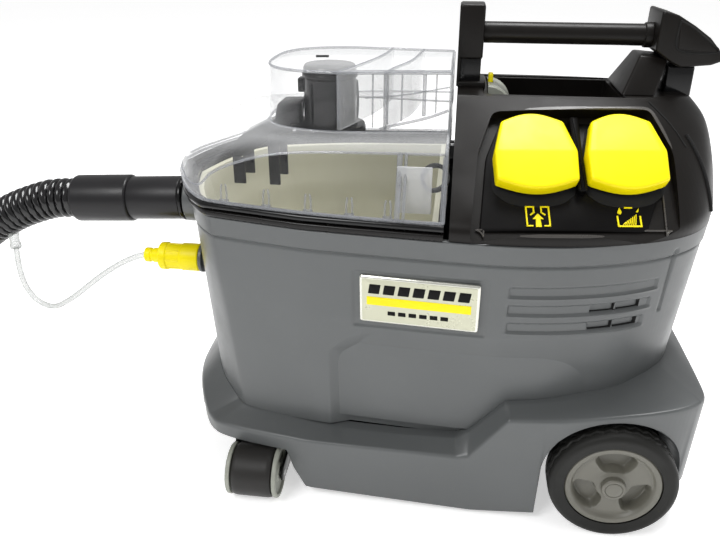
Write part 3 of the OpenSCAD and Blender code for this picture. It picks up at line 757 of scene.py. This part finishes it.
def make_lid_inside():
    # Beads, posts and clips below take the darker clear plastic: painted shade for the dark outlines at the
    # lid's inner edges.
    for i, line in enumerate(PARTITIONS):
        wall_along(f"lid_partition_{i}", line, 341, TURRET_Z - 1, 2.2, LID, body="lid")
        top = smooth_path([(x, y, TURRET_Z - 0.6) for x, y in line], 5)
        wire(f"lid_partition_bead_{i}", top, 1.4, LID_EDGE, 8, body="lid")
        x, y = line[0]
        wire(f"lid_partition_post_{i}", smooth_path([(x, y + 1, 341), (x, y + 1, 389)], 8), 1.5, LID_EDGE, 8,
             body="lid")
    # Straight posts and the slanted duct floor in the turret's rear part
    for i, (x, y, r) in enumerate([(-46, -63, 0.8), (-33, -63, 0.7), (-21, -62, 0.8), (-2, -60, 1.6),
                                   (8, -60, 0.7)]):
        wire(f"lid_post_{i}", smooth_path([(x, y, 343 + (x + 46) * 0.25), (x, y, 389)], 8), r, LID_EDGE, 8,
             body="lid")
    slant = smooth_path([(-40, -63, 342), (-28, -62, 345), (0, -61, 352), (19, -60, 359)], 4)
    wire("lid_duct_floor", slant, 1.3, LID_EDGE, 8, body="lid")
    wire("lid_duct_top", smooth_path([(-66, -60, 390), (-20, -60, 391), (19, -60, 392)], 6), 1.2, LID_EDGE, 8,
         body="lid")
    wire("lid_duct_line", smooth_path([(-54, -52, 366), (-20, -54, 370), (19, -56, 378)], 6), 0.7, LID_EDGE,
         8, body="lid")
    # Paired clips on the window's foot
    line = lid_lines()[0]
    near = line[line[:, 1] < 0]
    for i, x in enumerate((-166, -128, -91, -55, -24)):
        k = int(np.argmin(np.abs(near[:, 0] - x) + 1000 * (near[:, 1] > -60)))
        cx, cy = near[k]
        for j, dx in enumerate((-2.4, 2.4)):
            pts = smooth_path([(cx + dx, cy + 3.0, 289.5), (cx + dx, cy + 3.8, 298),
                               (cx + dx * 0.7, cy + 4.6, 304)], 2)
            wire(f"lid_clip_{i}_{j}", pts, 0.8, LID_EDGE, 8, body="lid")
        wire(f"lid_clip_foot_{i}", smooth_path([(cx - 4, cy + 2.8, 290), (cx + 4, cy + 2.6, 290)], 2), 1.4,
             LID_EDGE, 8, body="lid")
    # Framed rear window and its milky panel
    for i, x in enumerate((-16.5, -11.5, 19)):
        top = 339 if i < 2 else 337
        wire(f"lid_window_post_{i}", smooth_path([(x, -145.5, 290), (x, -124.5, top)], 6), (2.2, 1.2, 1.4)[i],
             LID_EDGE, 8, body="lid")
    block("baffle_panel", (-18, -132, 291), (10, -130, 330), BAFFLE, 0.6, body="lid", nodes=("baffle",))
    lathe("float_port_ring", [(9, 0), (12, 0), (12, 4), (9, 4), (9, 0)], GLOSS, (11, -118, 318), (0.3, -1, 0),
          48, closed=True, body="lid")
    wire("lid_vent_screw", smooth_path([(-108, 6, TURRET_Z + 0.4), (-96, 8, TURRET_Z + 0.4)], 2), 1.2, GLOSS,
         8, body="lid")


def strip(name, z0, z1, out, lead, thick, mat, r=1.2, **kw):
    """A rounded band round the lid's end of the housing, moved forward by lead at the nose."""
    half = HALF[:, 2:4].copy()
    half[:, 0] -= lead * (1 - smoothstep((half[:, 0] + 185) / 40))
    half = half[half[:, 0] < 21]
    half = np.vstack([half, [21, np.interp(21, HALF[:, 2], HALF[:, 3])]])
    ring = whole(half)
    n2 = normals2(ring)
    n2[[len(half) - 1, len(half)]] = [[0, -1], [0, 1]]
    prof = [(out - r, z0), (out, z0 + r), (out, z1 - r), (out - r, z1), (out - thick, z1), (out - thick, z0)]
    rings = [at_z(ring + n2 * o, z) for o, z in soften_profile(prof + prof[:1], r * 0.8, 2)]
    loft(name, rings, mat, caps=(False, False), **kw)


def make_container():
    low = [(-186, 0), (-185, 45), (-174, 78), (-155, 98), (-80, 116), (0, 119), (14, 119)]
    top = [(-226, 0), (-216, 42), (-198, 84), (-176, 107), (-90, 129), (0, 138), (14, 139)]
    both_lines = resample(chaikin(np.hstack([low, top]), 3), 200)
    lo, hi = whole(both_lines[:, 0:2]), whole(both_lines[:, 2:4])
    rings = [at_z(lo * 0.96, 140), at_z(lo, 144)]
    for t in np.linspace(0.1, 1, 12):
        rings.append(at_z(lo + (hi - lo) * t, 144 + (RIM_Z - 144) * t))
    rings.append(at_z(hi + normals2(hi) * 1.8, RIM_Z + 0.6))
    for t in np.linspace(1, 0, 14):
        ring = lo + (hi - lo) * t
        # Shallow stepped ribs moulded into the inner wall
        wave = 0.7 * math.sin(t * 22)
        rings.append(at_z(ring - normals2(ring) * (3.2 + wave), 146 + (RIM_Z - 146) * t))
    shell = loft("container_shell", rings, CREAM, body="container", slot="tank_cream",
                 nodes=("recovery_container",), sharp=40)
    strip("container_rim_band", 275.4, 281.2, 3.0, 1.5, 12, SEAL, body="container", slot="gloss_black",
          nodes=("container_rim",))
    strip("lid_seal_band", 281.9, 288.0, 2.4, 5.0, 10, GLOSS, 1.8, body="lid", slot="seal_black",
          nodes=("lid_seal",))
    return shell


def make_suction_parts():
    c = (-94, 0, 0)
    prof = [(22, 330), (24.2, 330), (25, 331), (25, 374), (26.2, 375), (26.2, 378), (25, 379), (25, 383),
            (23.5, 386), (0, 386)]
    lathe("suction_dome_shell", soften_profile(prof, 0.8, 3), GLOSS, c, (0, 0, 1), 96, body="lid",
          slot="gloss_black", nodes=("suction_dome",))
    flange = [(22, 326), (33, 326), (34, 328), (33, 330.5), (26, 332), (22, 332), (22, 326)]
    lathe("suction_dome_flange", flange, GLOSS, c, (0, 0, 1), 96, closed=True, body="lid")
    for i, a in enumerate((20, 92, 164, 236, 308)):
        u, w = math.cos(math.radians(a)), math.sin(math.radians(a))
        rib = [(-94 + u * 26, w * 26, 334), (-94 + u * 27, w * 27, 350), (-94 + u * 26, w * 26, 370)]
        wire(f"suction_dome_rib_{i}", smooth_path(rib, 4), 1.2, GLOSS, 8, body="lid")
    block("suction_dome_lug", (-124, -6, 360), (-117, 6, 373), GLOSS, 1.2, body="lid")
    duct = [(-191, 297), (-190, 309), (-178, 320), (-160, 329), (-146, 334), (-142, 351), (-121, 352),
            (-121, 331.6), (-129, 331), (-129, 323), (-146, 318), (-170, 303), (-184, 296)]
    prism_y("suction_duct_shell", duct, -16, 16, GLOSS, 2.0, body="lid", slot="gloss_black",
            nodes=("suction_duct",))
    for i, (x0, x1, z1) in enumerate([(-189, -177, 298), (-153, -142, 322)]):
        for j, y in enumerate((-17, 17)):
            block(f"suction_duct_leg_{i}_{j}", (x0, y - 1.4, 271), (x1, y + 1.4, z1), GLOSS, 0.8, body="lid")


# ---------------------------------------------------------------- cover, panel and handle
COVER_LEVELS = [
    (276, [(25.5, 150), (60, 153), (115, 150), (165, 140), (211, 120), (238, 90), (252, 50), (257, 20),
           (257, 0)]),
    (291, [(25.5, 147), (60, 150), (115, 147), (165, 137), (210, 118), (238, 88), (252, 50), (257, 20),
           (257, 0)]),
    (322, [(25.5, 110), (60, 111), (115, 110), (165, 105), (206, 93), (232, 70), (247, 41), (253, 14),
           (253, 0)]),
    (348, [(25.5, 78), (60, 80), (115, 79), (165, 75), (201, 66), (226, 48), (239, 29), (244, 12), (244, 0)]),
    (366, [(25.5, 57), (60, 58), (115, 57), (165, 52), (198, 44), (216, 32), (226, 20), (229, 8), (229, 0)]),
    (371, [(25.5, 51), (60, 52), (115, 51), (165, 46), (194, 39), (210, 28), (218, 17), (221, 6), (221, 0)])]


def cover_rings(proud=0.0, rows=64, count=220):
    levels = [resample(chaikin(np.array(o, float), 3), count) for _, o in COVER_LEVELS]
    stack = np.array([np.column_stack([l, np.full(count, z)]) for (z, _), l in zip(COVER_LEVELS, levels)])
    keys = np.linspace(0, len(stack) - 1, rows)
    rings = []
    for k in keys:
        i = min(int(k), len(stack) - 2)
        t = k - i
        p0, p1, p2, p3 = (stack[max(i - 1, 0)], stack[i], stack[i + 1], stack[min(i + 2, len(stack) - 1)])
        p = 0.5 * (2 * p1 + (p2 - p0) * t + (2 * p0 - 5 * p1 + 4 * p2 - p3) * t ** 2
                   + (3 * p1 - p0 - 3 * p2 + p3) * t ** 3)
        ring = whole(p[:, :2])
        z = p[0, 2]
        rings.append(at_z(ring + normals2(ring) * proud, z))
    return rings


on_panel = panel_frame(118, -96.5, 330.5, 40.9, 7)
PANEL_CORNERS = [(-84, -70.5), (85, -70.5), (87, 8), (73, 50), (-58, 50), (-73, 8)]


def panel_ring(inset, n, wide=1.0, sill=1.0, radius=7):
    """The panel's outline moved in; wide spreads the upper half's walls and sill the lower edge."""
    ring = rounded(PANEL_CORNERS, radius, 8)
    n2 = normals2(ring)
    amount = np.full(len(ring), float(inset))
    if inset > 3:
        upper = smoothstep((ring[:, 1] - 4) / 6)
        lower = smoothstep((-56 - ring[:, 1]) / 6)
        amount = 3 + (inset - 3) * (1 + upper * (wide - 1) + lower * (sill - 1))
    moved = ring - n2 * amount[:, None]
    return [on_panel(u, v, n) for u, v in moved]


def make_cover():
    cover = loft("cover_shell", cover_rings(), COVER, slot="cover_black", nodes=("motor_cover",), sharp=40)
    recess = loft("c1", [panel_ring(0.6, -12), panel_ring(0.6, 60)], COVER, body=None)
    well = bevelled("c2", box_points((52, -41, 308), (164, 41, 372.5)), BOX_FACES, COVER, 3, body=None)
    lip = bevelled("c3", box_points((48, -45, 369.2), (168, 45, 375)), BOX_FACES, COVER, 1, body=None)
    cut(cover, recess, well, lip)


def cap_outline(width, grow=0.0):
    bottom = [(-34 + 68 * i / 12, -22 - 8.0 * math.sin(math.pi * i / 12)) for i in range(13)]
    top = [(26.5 - 53 * i / 12, 34 + 9 * math.sin(math.pi * i / 12)) for i in range(13)]
    pts = rounded([(u * width, v) for u, v in bottom + [(34.5, 3)] + top + [(-34.5, 3)]], 1.6, 2)
    return pts + normals2(pts) * grow


def cap_height(v):
    """The rocker's top: two faces meeting in a soft crease."""
    fore, aft = 10 - (4 - v) * 0.125, 10 - (v - 4) * 0.159
    k = 1.2
    return -k * np.log(np.exp(-fore / k) + np.exp(-aft / k)) + 0.6


def make_cap(name, u0, width, body, node):
    ring = cap_outline(width)
    n2 = normals2(ring)
    loops = []
    for inset, drop in ((0, None), (0, 2.6), (0.35, 1.3), (1.1, 0.45), (2.2, 0.0)):
        r = ring - n2 * inset
        top = cap_height(r[:, 1])
        h = np.full(len(r), -4.0) if drop is None else top - drop
        loops.append([on_panel(u0 + u, v, n) for (u, v), n in zip(r, h)])
    last = ring - n2 * 2.2
    for f in (0.85, 0.65, 0.45, 0.25, 0.0):
        r = np.column_stack([last[:, 0] * f, last[:, 1]])
        loops.append([on_panel(u0 + u, v, n) for (u, v), n in zip(r, cap_height(r[:, 1]))])
    loft(name, loops, YELLOW, caps=(True, False), body=body, slot="yellow", nodes=(node,), sharp=50)


def stroke(name, pts, width, place, mat, n=-8.9):
    """A flat line of some width on a panel."""
    path = np.array(pts, float)
    for i in range(len(path) - 1):
        a, b = path[i], path[i + 1]
        d = (b - a) / np.linalg.norm(b - a)
        s = np.array([d[1], -d[0]]) * width / 2
        a2, b2 = a - d * width / 2, b + d * width / 2
        plate(f"{name}_{i}", [a2 + s, b2 + s, b2 - s, a2 - s], n - 0.6, n, place, mat, 0.1)


def make_symbols():
    """Two plain pictograms: an open tray with an arrow, and a tray with a fan of spray."""
    u, v = -27, -47.5
    stroke("mark_left_tray", [(u - 3, v + 9), (u - 9, v + 9), (u - 9, v - 8), (u - 5, v - 8)], 1.3, on_panel,
           YELLOW)
    stroke("mark_right_tray", [(u + 3, v + 9), (u + 9, v + 9), (u + 9, v - 8), (u + 5, v - 8)], 1.3, on_panel,
           YELLOW)
    stroke("mark_left_leg", [(u - 3, v + 9), (u - 3, v + 4), (u - 5.5, v + 2)], 1.2, on_panel, YELLOW)
    stroke("mark_right_leg", [(u + 3, v + 9), (u + 3, v + 4), (u + 5.5, v + 2)], 1.2, on_panel, YELLOW)
    arrow = [(u - 4.5, v - 2), (u - 1.8, v - 2), (u - 2.4, v - 9), (u + 2.4, v - 9), (u + 1.8, v - 2),
             (u + 4.5, v - 2), (u, v + 3)]
    plate("mark_arrow", arrow, -9.5, -8.9, on_panel, YELLOW, 0.1)
    u, v = 45, -47
    stroke("mark_tray", [(u - 9, v), (u - 9, v - 8.5), (u + 9, v - 8.5), (u + 9, v)], 1.3, on_panel, YELLOW)
    for i in range(7):
        stroke(f"mark_spray_{i}", [(u - 5 + i * 1.6, v - 7), (u - 3 + i * 1.5, v - 5 + i * 1.1)], 0.7,
               on_panel, YELLOW)
    plate("mark_drop", rounded([(u - 9, v + 3), (u - 6, v + 2), (u - 5, v + 4), (u - 6.5, v + 8.5)], 1.2),
          -9.5, -8.9, on_panel, YELLOW, 0.1)
    stroke("mark_nozzle", [(u - 2, v + 8), (u + 3, v + 8)], 1.3, on_panel, YELLOW)
    plate("mark_drop_small", rounded([(u + 6, v + 4), (u + 8, v + 4), (u + 8.5, v + 6), (u + 9, v + 8)], 0.8),
          -9.5, -8.9, on_panel, YELLOW, 0.1)


def make_panel():
    # The tray's floor takes the darker black: painted shade in the panel recess.
    floor = rounded([(-74, -60), (58, -60), (71, -30), (76, 8), (65, 42), (-51, 42), (-65, 8)], 5)
    plate("panel_tray", floor, -12.4, -9.7, on_panel, PANEL_SHADE_AND_PRINT, 0.8, slot="cover_black",
          nodes=("control_panel",))
    # Frame beads in the paler black: painted highlight along the recess's rim.
    for tag, inset, n, r in (("outer", 0.4, 1.6, 1.5), ("inner", 8.9, -10.6, 0.7)):
        bead = wire(f"panel_bead_{tag}", np.array(panel_ring(inset, n, 1.5, 1.5)), r, FRAME_HIGHLIGHT, 8, closed=True)
        keep_inside(bead, loft("c4", cover_rings(2.0), COVER, body=None))
    plate("panel_divider_bar", rounded(rect(5.8, -28, 12.6, 43), 1.6), -10.6, -0.5, on_panel, PANEL_SHADE_AND_PRINT, 1.6,
          nodes=("panel_divider",))
    # Flat black plates just under the rocker caps: painted shade in the gaps round them.
    for name, u0, width in (("left", -27.5, 0.965), ("right", 45.3, 0.92)):
        ring = cap_outline(width, 1.2)
        low = np.where(ring[:, 1] < -20, ring[:, 1] - 8 * smoothstep((-20 - ring[:, 1]) / 8), ring[:, 1])
        plate(f"panel_gap_{name}", np.column_stack([ring[:, 0] + u0, low]), -9.8, -9.2, on_panel, PAINTED_SHADE, 0.2,
              nodes=() if name == "right" else ("panel_symbols",))
    make_cap("left_cap", -27.5, 0.965, "left_switch", "left_switch_cap")
    make_cap("right_cap", 45.3, 0.92, "right_switch", "right_switch_cap")
    make_symbols()


def make_handle():
    block("post_head", (24, -16, 395), (46, 16, 441), COVER, 2.2, slot="cover_black", nodes=("handle_post",))
    block("post_core", (26.5, -13, 373), (45, 13, 397), GLOSS, 0.8)
    block("post_web", (24, -15.4, 371), (27, 15.4, 396), COVER, 0.8)
    block("post_foot", (25.7, -18, 369), (50, 18, 376), COVER, 1.6)
    prof = [(0, 0), (8.6, 0), (9.2, 0.8), (9.2, 137), (10.4, 138), (10.6, 139.5), (10.6, 143.5), (9.8, 144.5),
            (0, 144.5)]
    lathe("bar_tube", prof, COVER, (45.5, 0, 416.5), (1, 0, 0), 64, slot="cover_black", nodes=("grip_bar",))
    cap = [(189, 406), (190, 439), (204, 435), (218, 427), (232, 417.5), (241, 408), (246, 399.5),
           (236, 395.5), (211, 393), (203, 397)]
    prism_y("cap_body", cap, -25, 25, COVER, 2.6, slot="cover_black", nodes=("handle_cap",), segments=4)
    # Raised panel on each side of the cap, framed by a fine groove drawn as a flat black line of painted
    # shade
    for sy, tag in ((-1, "near"), (1, "far")):
        tri = [(205, 431), (216, 425.5), (229, 416), (239, 406.5), (207, 408)]
        pts = tri if sy > 0 else tri[::-1]
        prism_y(f"cap_facet_{tag}", pts, 24 * sy, 25.6 * sy, COVER, 0.7)
        rim = smooth_path([(x, 25.1 * sy, z) for x, z in tri + tri[:1]], 2.5)
        wire(f"cap_groove_{tag}", rim, 0.9, PAINTED_SHADE, 8)
    block("neck_body", (203.5, -14, 366), (227, 14, 393.5), GLOSS, 2.5, slot="gloss_black",
          nodes=("handle_neck",))
    strut = [(164, -37, 371), (192, -37, 371), (192, 37, 371), (164, 37, 371),
             (179, -17, 402), (203, -17, 400), (203, 17, 400), (179, 17, 402)]
    bevelled("strut_body", strut, BOX_FACES, COVER, 2.0, slot="cover_black", nodes=("handle_strut",))
    prof = [(0, -22), (20.5, -22), (22, -20.5), (22, 20.5), (20.5, 22), (0, 22)]
    knob = lathe("latch_drum", prof, PALE, (52.6, 0, 352), (0, 1, 0), 72, slot="light_grey",
                 nodes=("latch_housing",))
    trim = bevelled("c5", box_points((20, -30, 325), (52.6, 30, 380)), BOX_FACES, PALE, 0.1, body=None)
    slot_cut = bevelled("c6", box_points((51, -5.6, 367), (57.6, 5.6, 376)), BOX_FACES, PALE, 0.1, body=None)
    cut(knob, trim, slot_cut)
    block("tab_button", (52.6, -5, 371.8), (57, 5, 381), YELLOW, 0.9, body="release", slot="yellow",
          nodes=("release_tab",))


# ---------------------------------------------------------------- wheels
def polar_grid(radii, turns, height, centre, sign):
    """Rings of a disc in x and z about centre; height(r, angle) gives y, mirrored by sign."""
    ang = np.linspace(0, 2 * math.pi, turns, endpoint=False)
    rings = []
    for r in radii:
        y = np.array([height(r, a) for a in ang])
        rings.append(np.column_stack([centre[0] + r * np.cos(ang), sign * y, centre[1] + r * np.sin(ang)]))
    return rings


def make_tyre(side, sign):
    """Tread blocks between zigzag grooves, on a tyre 32 wide."""
    turns = 720
    ang = np.linspace(0, 2 * math.pi, turns, endpoint=False)
    prof = soften_profile([(42, 135), (51, 134), (54.6, 136), (56, 140.5), (56, 159.5), (54.6, 164),
                           (51, 166), (42.0, 164.5)], 2.2, 4)
    fine = resample(np.array(prof), 64)
    rings = []
    for r, y in fine:
        groove = np.zeros(turns)
        if r > 53.6:
            k = ang * 30 / (2 * math.pi)
            zig = np.abs((k + 0.25) % 1.0 - 0.5) * 4 - 1
            for at, swing in ((142.5, 1.2), (150, 1.8), (157.5, 1.2)):
                groove = np.maximum(groove, 1.5 * slab(y - at - swing * zig, -1.0, 1.0, 0.9))
        rr = r - groove
        rings.append(np.column_stack([WHEEL_C[0] + rr * np.cos(ang), np.full(turns, sign * y),
                                      WHEEL_C[1] + rr * np.sin(ang)]))
    loft(f"{side}_tyre_tread", rings + [rings[0]], TYRE, caps=(False, False), body=f"{side}_wheel",
         slot="tyre", nodes=(f"{side}_tyre",), sharp=40)


def pocket(r, a):
    """Depth share of three scooped pockets between broad spokes."""
    best = 0.0
    for deg in (90, 210, 330):
        d = (math.degrees(a) - deg + 180) % 360 - 180
        across = abs(d) / 36.0
        along = (r - 24.5) / 9.5
        best = max(best, 1 - float(smoothstep((math.sqrt(across ** 4 + along ** 4) - 0.72) / 0.36)))
    return best


def make_rim(side, sign):
    def face(r, a):
        base = np.interp(r, [0, 12, 15, 31, 34, 36.5, 40.5, 42],
                         [163, 163, 161.4, 160.6, 160.2, 163.5, 164.2, 162.4])
        return float(base) - 9.5 * pocket(r, a)
    radii = np.r_[0.5, np.linspace(6, 42, 52)]
    rings = polar_grid(radii, 240, face, WHEEL_C, sign)
    rings += polar_grid([42, 38, 20, 5.2], 240, lambda r, a: np.interp(r, [0, 30, 42], [140, 140, 137]),
                        WHEEL_C, sign)
    loft(f"{side}_rim_face", rings, RIM, caps=(True, True), body=f"{side}_wheel", slot="wheel_grey",
         nodes=(f"{side}_rim",), sharp=45)
    prof = soften_profile([(0, 162.5), (10.6, 162.5), (10.6, 167.2), (9.6, 168.2), (7.9, 168.3), (7.4, 167.5),
                           (6.9, 168.4), (0, 169)], 0.4, 3)
    lathe(f"{side}_hub_disc", prof, RIM, (WHEEL_C[0], 0, WHEEL_C[1]), (0, sign, 0), 72, body=f"{side}_wheel",
          slot="light_grey", nodes=(f"{side}_hub_cap",))


def make_caster(side, sign):
    cx, wheel_y, cz, stem_y = -147.0, 148.0, 25.0, 127.0
    cy = wheel_y * sign
    tread_r = 25.0
    wheel, fork = f"{side}_caster_wheel", f"{side}_caster"
    half = 20.2
    prof = soften_profile([(5.2, -half), (21, -half), (24.2, -half + 1.6), (tread_r, -half + 5),
                           (tread_r, half - 5),
                           (24.2, half - 1.6), (21, half), (5.2, half), (5.2, -half)], 1.0, 3)
    lathe(f"{side}_tread_tyre", prof, CASTER, (cx, cy, cz), (1, 0, 0), 120, closed=True, body=wheel,
          slot="tyre", nodes=(f"{side}_tread",))
    for s, tag in ((-1, "front"), (1, "rear")):
        a, b = (half + 0.1) * s, 24.5 * s
        prof = [(5.2, a), (24.0, a), (24.6, a + 0.6 * s), (24.6, b - 0.8 * s), (23.8, b), (21.4, b),
                (20.4, b - 2.4 * s), (9.5, b - 2.8 * s), (8, b - 0.6 * s), (5.2, b - 0.4 * s), (5.2, a)]
        lathe(f"{side}_flange_{tag}", soften_profile(prof, 0.5, 2), PALE, (cx, cy, cz), (1, 0, 0), 96,
              closed=True, body=wheel, slot="light_grey", nodes=(f"{side}_flanges",) if s < 0 else ())
    bridge = wheel_y - tread_r - 4.3
    lo, hi = sorted((bridge * sign, (bridge + 2.9) * sign))
    block(f"{side}_fork_web", (cx - 28, lo, 20), (cx + 28, hi, 48.5), GLOSS, 0.8, body=fork,
          slot="gloss_black", nodes=(f"{side}_fork",))
    block(f"{side}_fork_neck", (cx - 7, lo, 40), (cx + 7, hi, 54), GLOSS, 0.8, body=fork)
    race = soften_profile([(0, 51), (11, 51), (11.4, 51.5), (11.4, 54), (6, 54.3), (6, 65), (0, 65)], 0.4, 2)
    lathe(f"{side}_fork_race", race, GLOSS, (cx, stem_y * sign, 0), (0, 0, 1), 64, body=fork)
    for s in (-1, 1):
        x0, x1 = sorted((cx + 25.3 * s, cx + 28 * s))
        arm = []
        for i in range(17):
            t = math.pi / 2 - math.pi * i / 16
            arm.append((wheel_y + 8 * math.cos(t), cz + 8 * math.sin(t)))
        arm += [(bridge + 1, 17), (bridge + 1, 36)]
        pts = [(x0, y * sign, z) for y, z in arm] + [(x1, y * sign, z) for y, z in arm]
        n = len(arm)
        faces = [tuple(range(n)), tuple(range(2 * n - 1, n - 1, -1))]
        faces += [(i, i + n, (i + 1) % n + n, (i + 1) % n) for i in range(n)]
        bevelled(f"{side}_fork_arm_{'rear' if s > 0 else 'front'}", pts, faces, GLOSS, 0.6, body=fork)


# ---------------------------------------------------------------- couplings
TILT = math.radians(3)
CUFF_AXIS = np.array([-math.cos(TILT), 0.0, -math.sin(TILT)])
CUFF_START = np.array([-244.0, 0.0, 247.0])


def make_cuffs():
    ring = soften_profile([(18.8, 1.6), (22.6, 1.6), (23.5, 2.4), (23.5, 4.8), (22.6, 5.6), (18.8, 5.6),
                           (18.8, 1.6)],
                          0.6, 2)
    lathe("cuff_ring_lip", ring, GLOSS, CUFF_START, CUFF_AXIS, 96, closed=True, slot="gloss_black",
          nodes=("cuff_ring",))

    socket = [(16, 5.6), (21.6, 5.6), (22.4, 6.4), (22.4, 60.6), (16, 60.6), (16, 5.6)]
    lathe("cuff_socket_body", soften_profile(socket, 0.5, 2), CUFF, CUFF_START, CUFF_AXIS, 96, closed=True,
          slot="hose", nodes=("cuff_socket",))
    sleeve = [(16, 60.7), (22.6, 60.7), (24.4, 62.6), (24.4, 121), (23.2, 123.4), (16, 123.6), (16, 60.7)]
    lathe("cuff_sleeve_body", soften_profile(sleeve, 1.0, 3), CUFF, CUFF_START, CUFF_AXIS, 96, closed=True,
          slot="hose", nodes=("cuff_sleeve",))
    collar = soften_profile([(12.1, -18), (24, -18), (24, -0.6), (23.4, 0), (14.6, 0), (14.6, 12.4), (14, 13),
                             (12.1, 13), (12.1, -18)], 0.5, 2)
    lathe("collar_ring", collar, GREY, CUFF_START, (-1, 0, 0), 96, closed=True,
          slot="body_grey", nodes=("inlet_collar",))


def make_coupling():

    nose = [(3.1, -287), (6.9, -287), (7.6, -286.2), (7.6, -281), (6.6, -280.2), (6.6, -278.6), (7.6, -277.8),
            (7.6, -271), (9.4, -270.6), (9.4, -227.3), (3.1, -227.3), (3.1, -287)]
    lathe("coupling_nose", soften_profile(nose, 0.4, 2), YELLOW, (0, -28, 192), (1, 0, 0), 72, closed=True,
          slot="yellow", nodes=("coupling_core",))
    sleeve = [(9.5, -270), (13.2, -270), (14.4, -268.6), (14.4, -262.4), (13.5, -261.4), (13.5, -247),
              (14.4, -246), (14.4, -228.4), (13.4, -227.2), (9.5, -227.2), (9.5, -270)]
    lathe("coupling_sleeve_body", soften_profile(sleeve, 0.5, 2), YELLOW, (0, -28, 192), (1, 0, 0), 96,
          closed=True, body="sleeve", slot="yellow", nodes=("coupling_sleeve",))
    # Long grip flats round the sleeve's waist
    for i in range(8):
        a = 2 * math.pi * i / 8
        y, z = -28 + 13.3 * math.cos(a), 192 + 13.3 * math.sin(a)
        wire(f"coupling_grip_{i}", smooth_path([(-261, y, z), (-254, y, z), (-247.4, y, z)], 3), 0.9, YELLOW,
             6, body="sleeve")
    base = soften_profile([(4, -226.8), (14.4, -226.8), (15, -226.2), (15, -223.6), (14.4, -223), (9, -223),
                           (9, -212), (4, -212), (4, -226.8)], 0.4, 2)
    lathe("spray_socket_flange", base, GREY, (0, -28, 192), (1, 0, 0), 72, closed=True, slot="body_grey",
          nodes=("spray_socket",))


def make_ends():
    prof = [(16, 0), (22, 0), (23, 1), (23, 10), (22, 11), (22, 13), (23, 14), (23, 66), (24.5, 70),
            (24.5, 88.6), (23.4, 90), (16.8, 90), (16, 89), (16, 0)]
    lathe("hose_end_sleeve", soften_profile(prof, 0.7, 2), CUFF, (-770, -270.5, 68), (1, 0, 0), 96,
          closed=True, slot="hose", nodes=("hose_end_fitting",))
    prof = [(0, 0), (5.2, 0), (6, 0.8), (6, 5), (5.2, 6), (5.2, 14), (6, 15), (6, 19.2), (5.2, 20), (0, 20)]
    lathe("grommet_body", soften_profile(prof, 0.4, 2), TUBE, (-449, -5, 180), (0, 0, 1), 48,
          slot="tube_clear", nodes=("tube_grommet",))


def make_rear_details():
    """The cover's rear: an exhaust slot and a mould seam near each corner, both drawn as flat black lines of
    painted shade.
    """
    ringset = cover_rings(0.0)
    for tag, sign in (("near", -1), ("far", 1)):
        for name, share, z0, z1, r, mat in (("slot", 0.74, 286, 346, 1.8, PAINTED_SHADE),
                                            ("seam", 0.71, 336, 368, 0.7, PAINTED_SHADE)):
            pts = []
            for ring in ringset:
                z = ring[0, 2]
                half = ring[: len(ring) // 2 + 1]
                k = int(share * (len(half) - 1))
                if z0 < z < z1:
                    pts.append((half[k, 0], half[k, 1] * -sign, z))
            wire(f"cover_{name}_{tag}", smooth_path(pts, 3), r, mat, 10)


for maker in (make_housing, make_skirt, make_badge, make_lid, make_lid_inside, make_container,
              make_suction_parts,
              make_cover, make_panel, make_handle, make_cuffs, make_coupling, make_hose, make_tube, make_ends,
              make_rear_details):
    maker()
for wheel_side, wheel_sign in (("near", -1), ("far", 1)):
    make_tyre(wheel_side, wheel_sign)
    make_rim(wheel_side, wheel_sign)
    make_caster(wheel_side, wheel_sign)

# The CAD pieces that are seen as they are
PLAIN = {
    GLOSS: ("base_pan", "air_inlet_ring", "float_cage", "switch_bodies"),
    STEEL: ("pan_screws", "axle", "near_caster_axle", "far_caster_axle"),
    MOTOR: ("vacuum_motor", "spray_pump"), FLOAT: ("float_cup",), TUBE: ("spray_line",)}
for mat, names in PLAIN.items():
    for n in names:
        NODES[n].data.materials.clear()
        NODES[n].data.materials.append(mat)


# ---------------------------------------------------------------- floor and light
def make_floor():
    bpy.ops.mesh.primitive_plane_add(size=20, location=(0, 0, 0))
    floor = bpy.context.object
    floor.name = "floor"
    paint = Paint("floor_white", (0.93, 0.93, 0.93), 0.6)
    paint.tint(paint.noise(3.0), 0.4, 0.7, 0.1, 0.97)
    paint.bsdf.inputs["Emission Color"].default_value = (1, 1, 1, 1)
    paint.bsdf.inputs["Emission Strength"].default_value = 0.5
    floor.data.materials.append(paint.mat)


def area_light(name, at, target, size, power, shape="RECTANGLE"):
    data = bpy.data.lights.new(name, "AREA")
    data.shape, data.size, data.size_y, data.energy = shape, size[0], size[1], power
    lamp = bpy.data.objects.new(name, data)
    lamp.location = at
    lamp.rotation_euler = (Vector(target) - Vector(at)).to_track_quat("-Z", "Y").to_euler()
    bpy.context.collection.objects.link(lamp)
    return lamp


def make_light():
    world = bpy.data.worlds.new("studio")
    bpy.context.scene.world = world
    world.use_nodes = True
    back = world.node_tree.nodes["Background"]
    back.inputs["Color"].default_value = (1, 1, 1, 1)
    back.inputs["Strength"].default_value = 0.5
    area_light("key", (-0.9, -1.3, 1.7), (0, 0, 0.2), (0.8, 0.6), 19)
    area_light("top", (0.2, 0.3, 1.9), (0, 0, 0.2), (1.0, 0.6), 34)
    area_light("right", (1.7, -0.9, 0.9), (0.1, 0, 0.2), (0.5, 0.9), 4)
    bpy.context.scene.view_settings.view_transform = "Standard"


make_floor()
make_light()
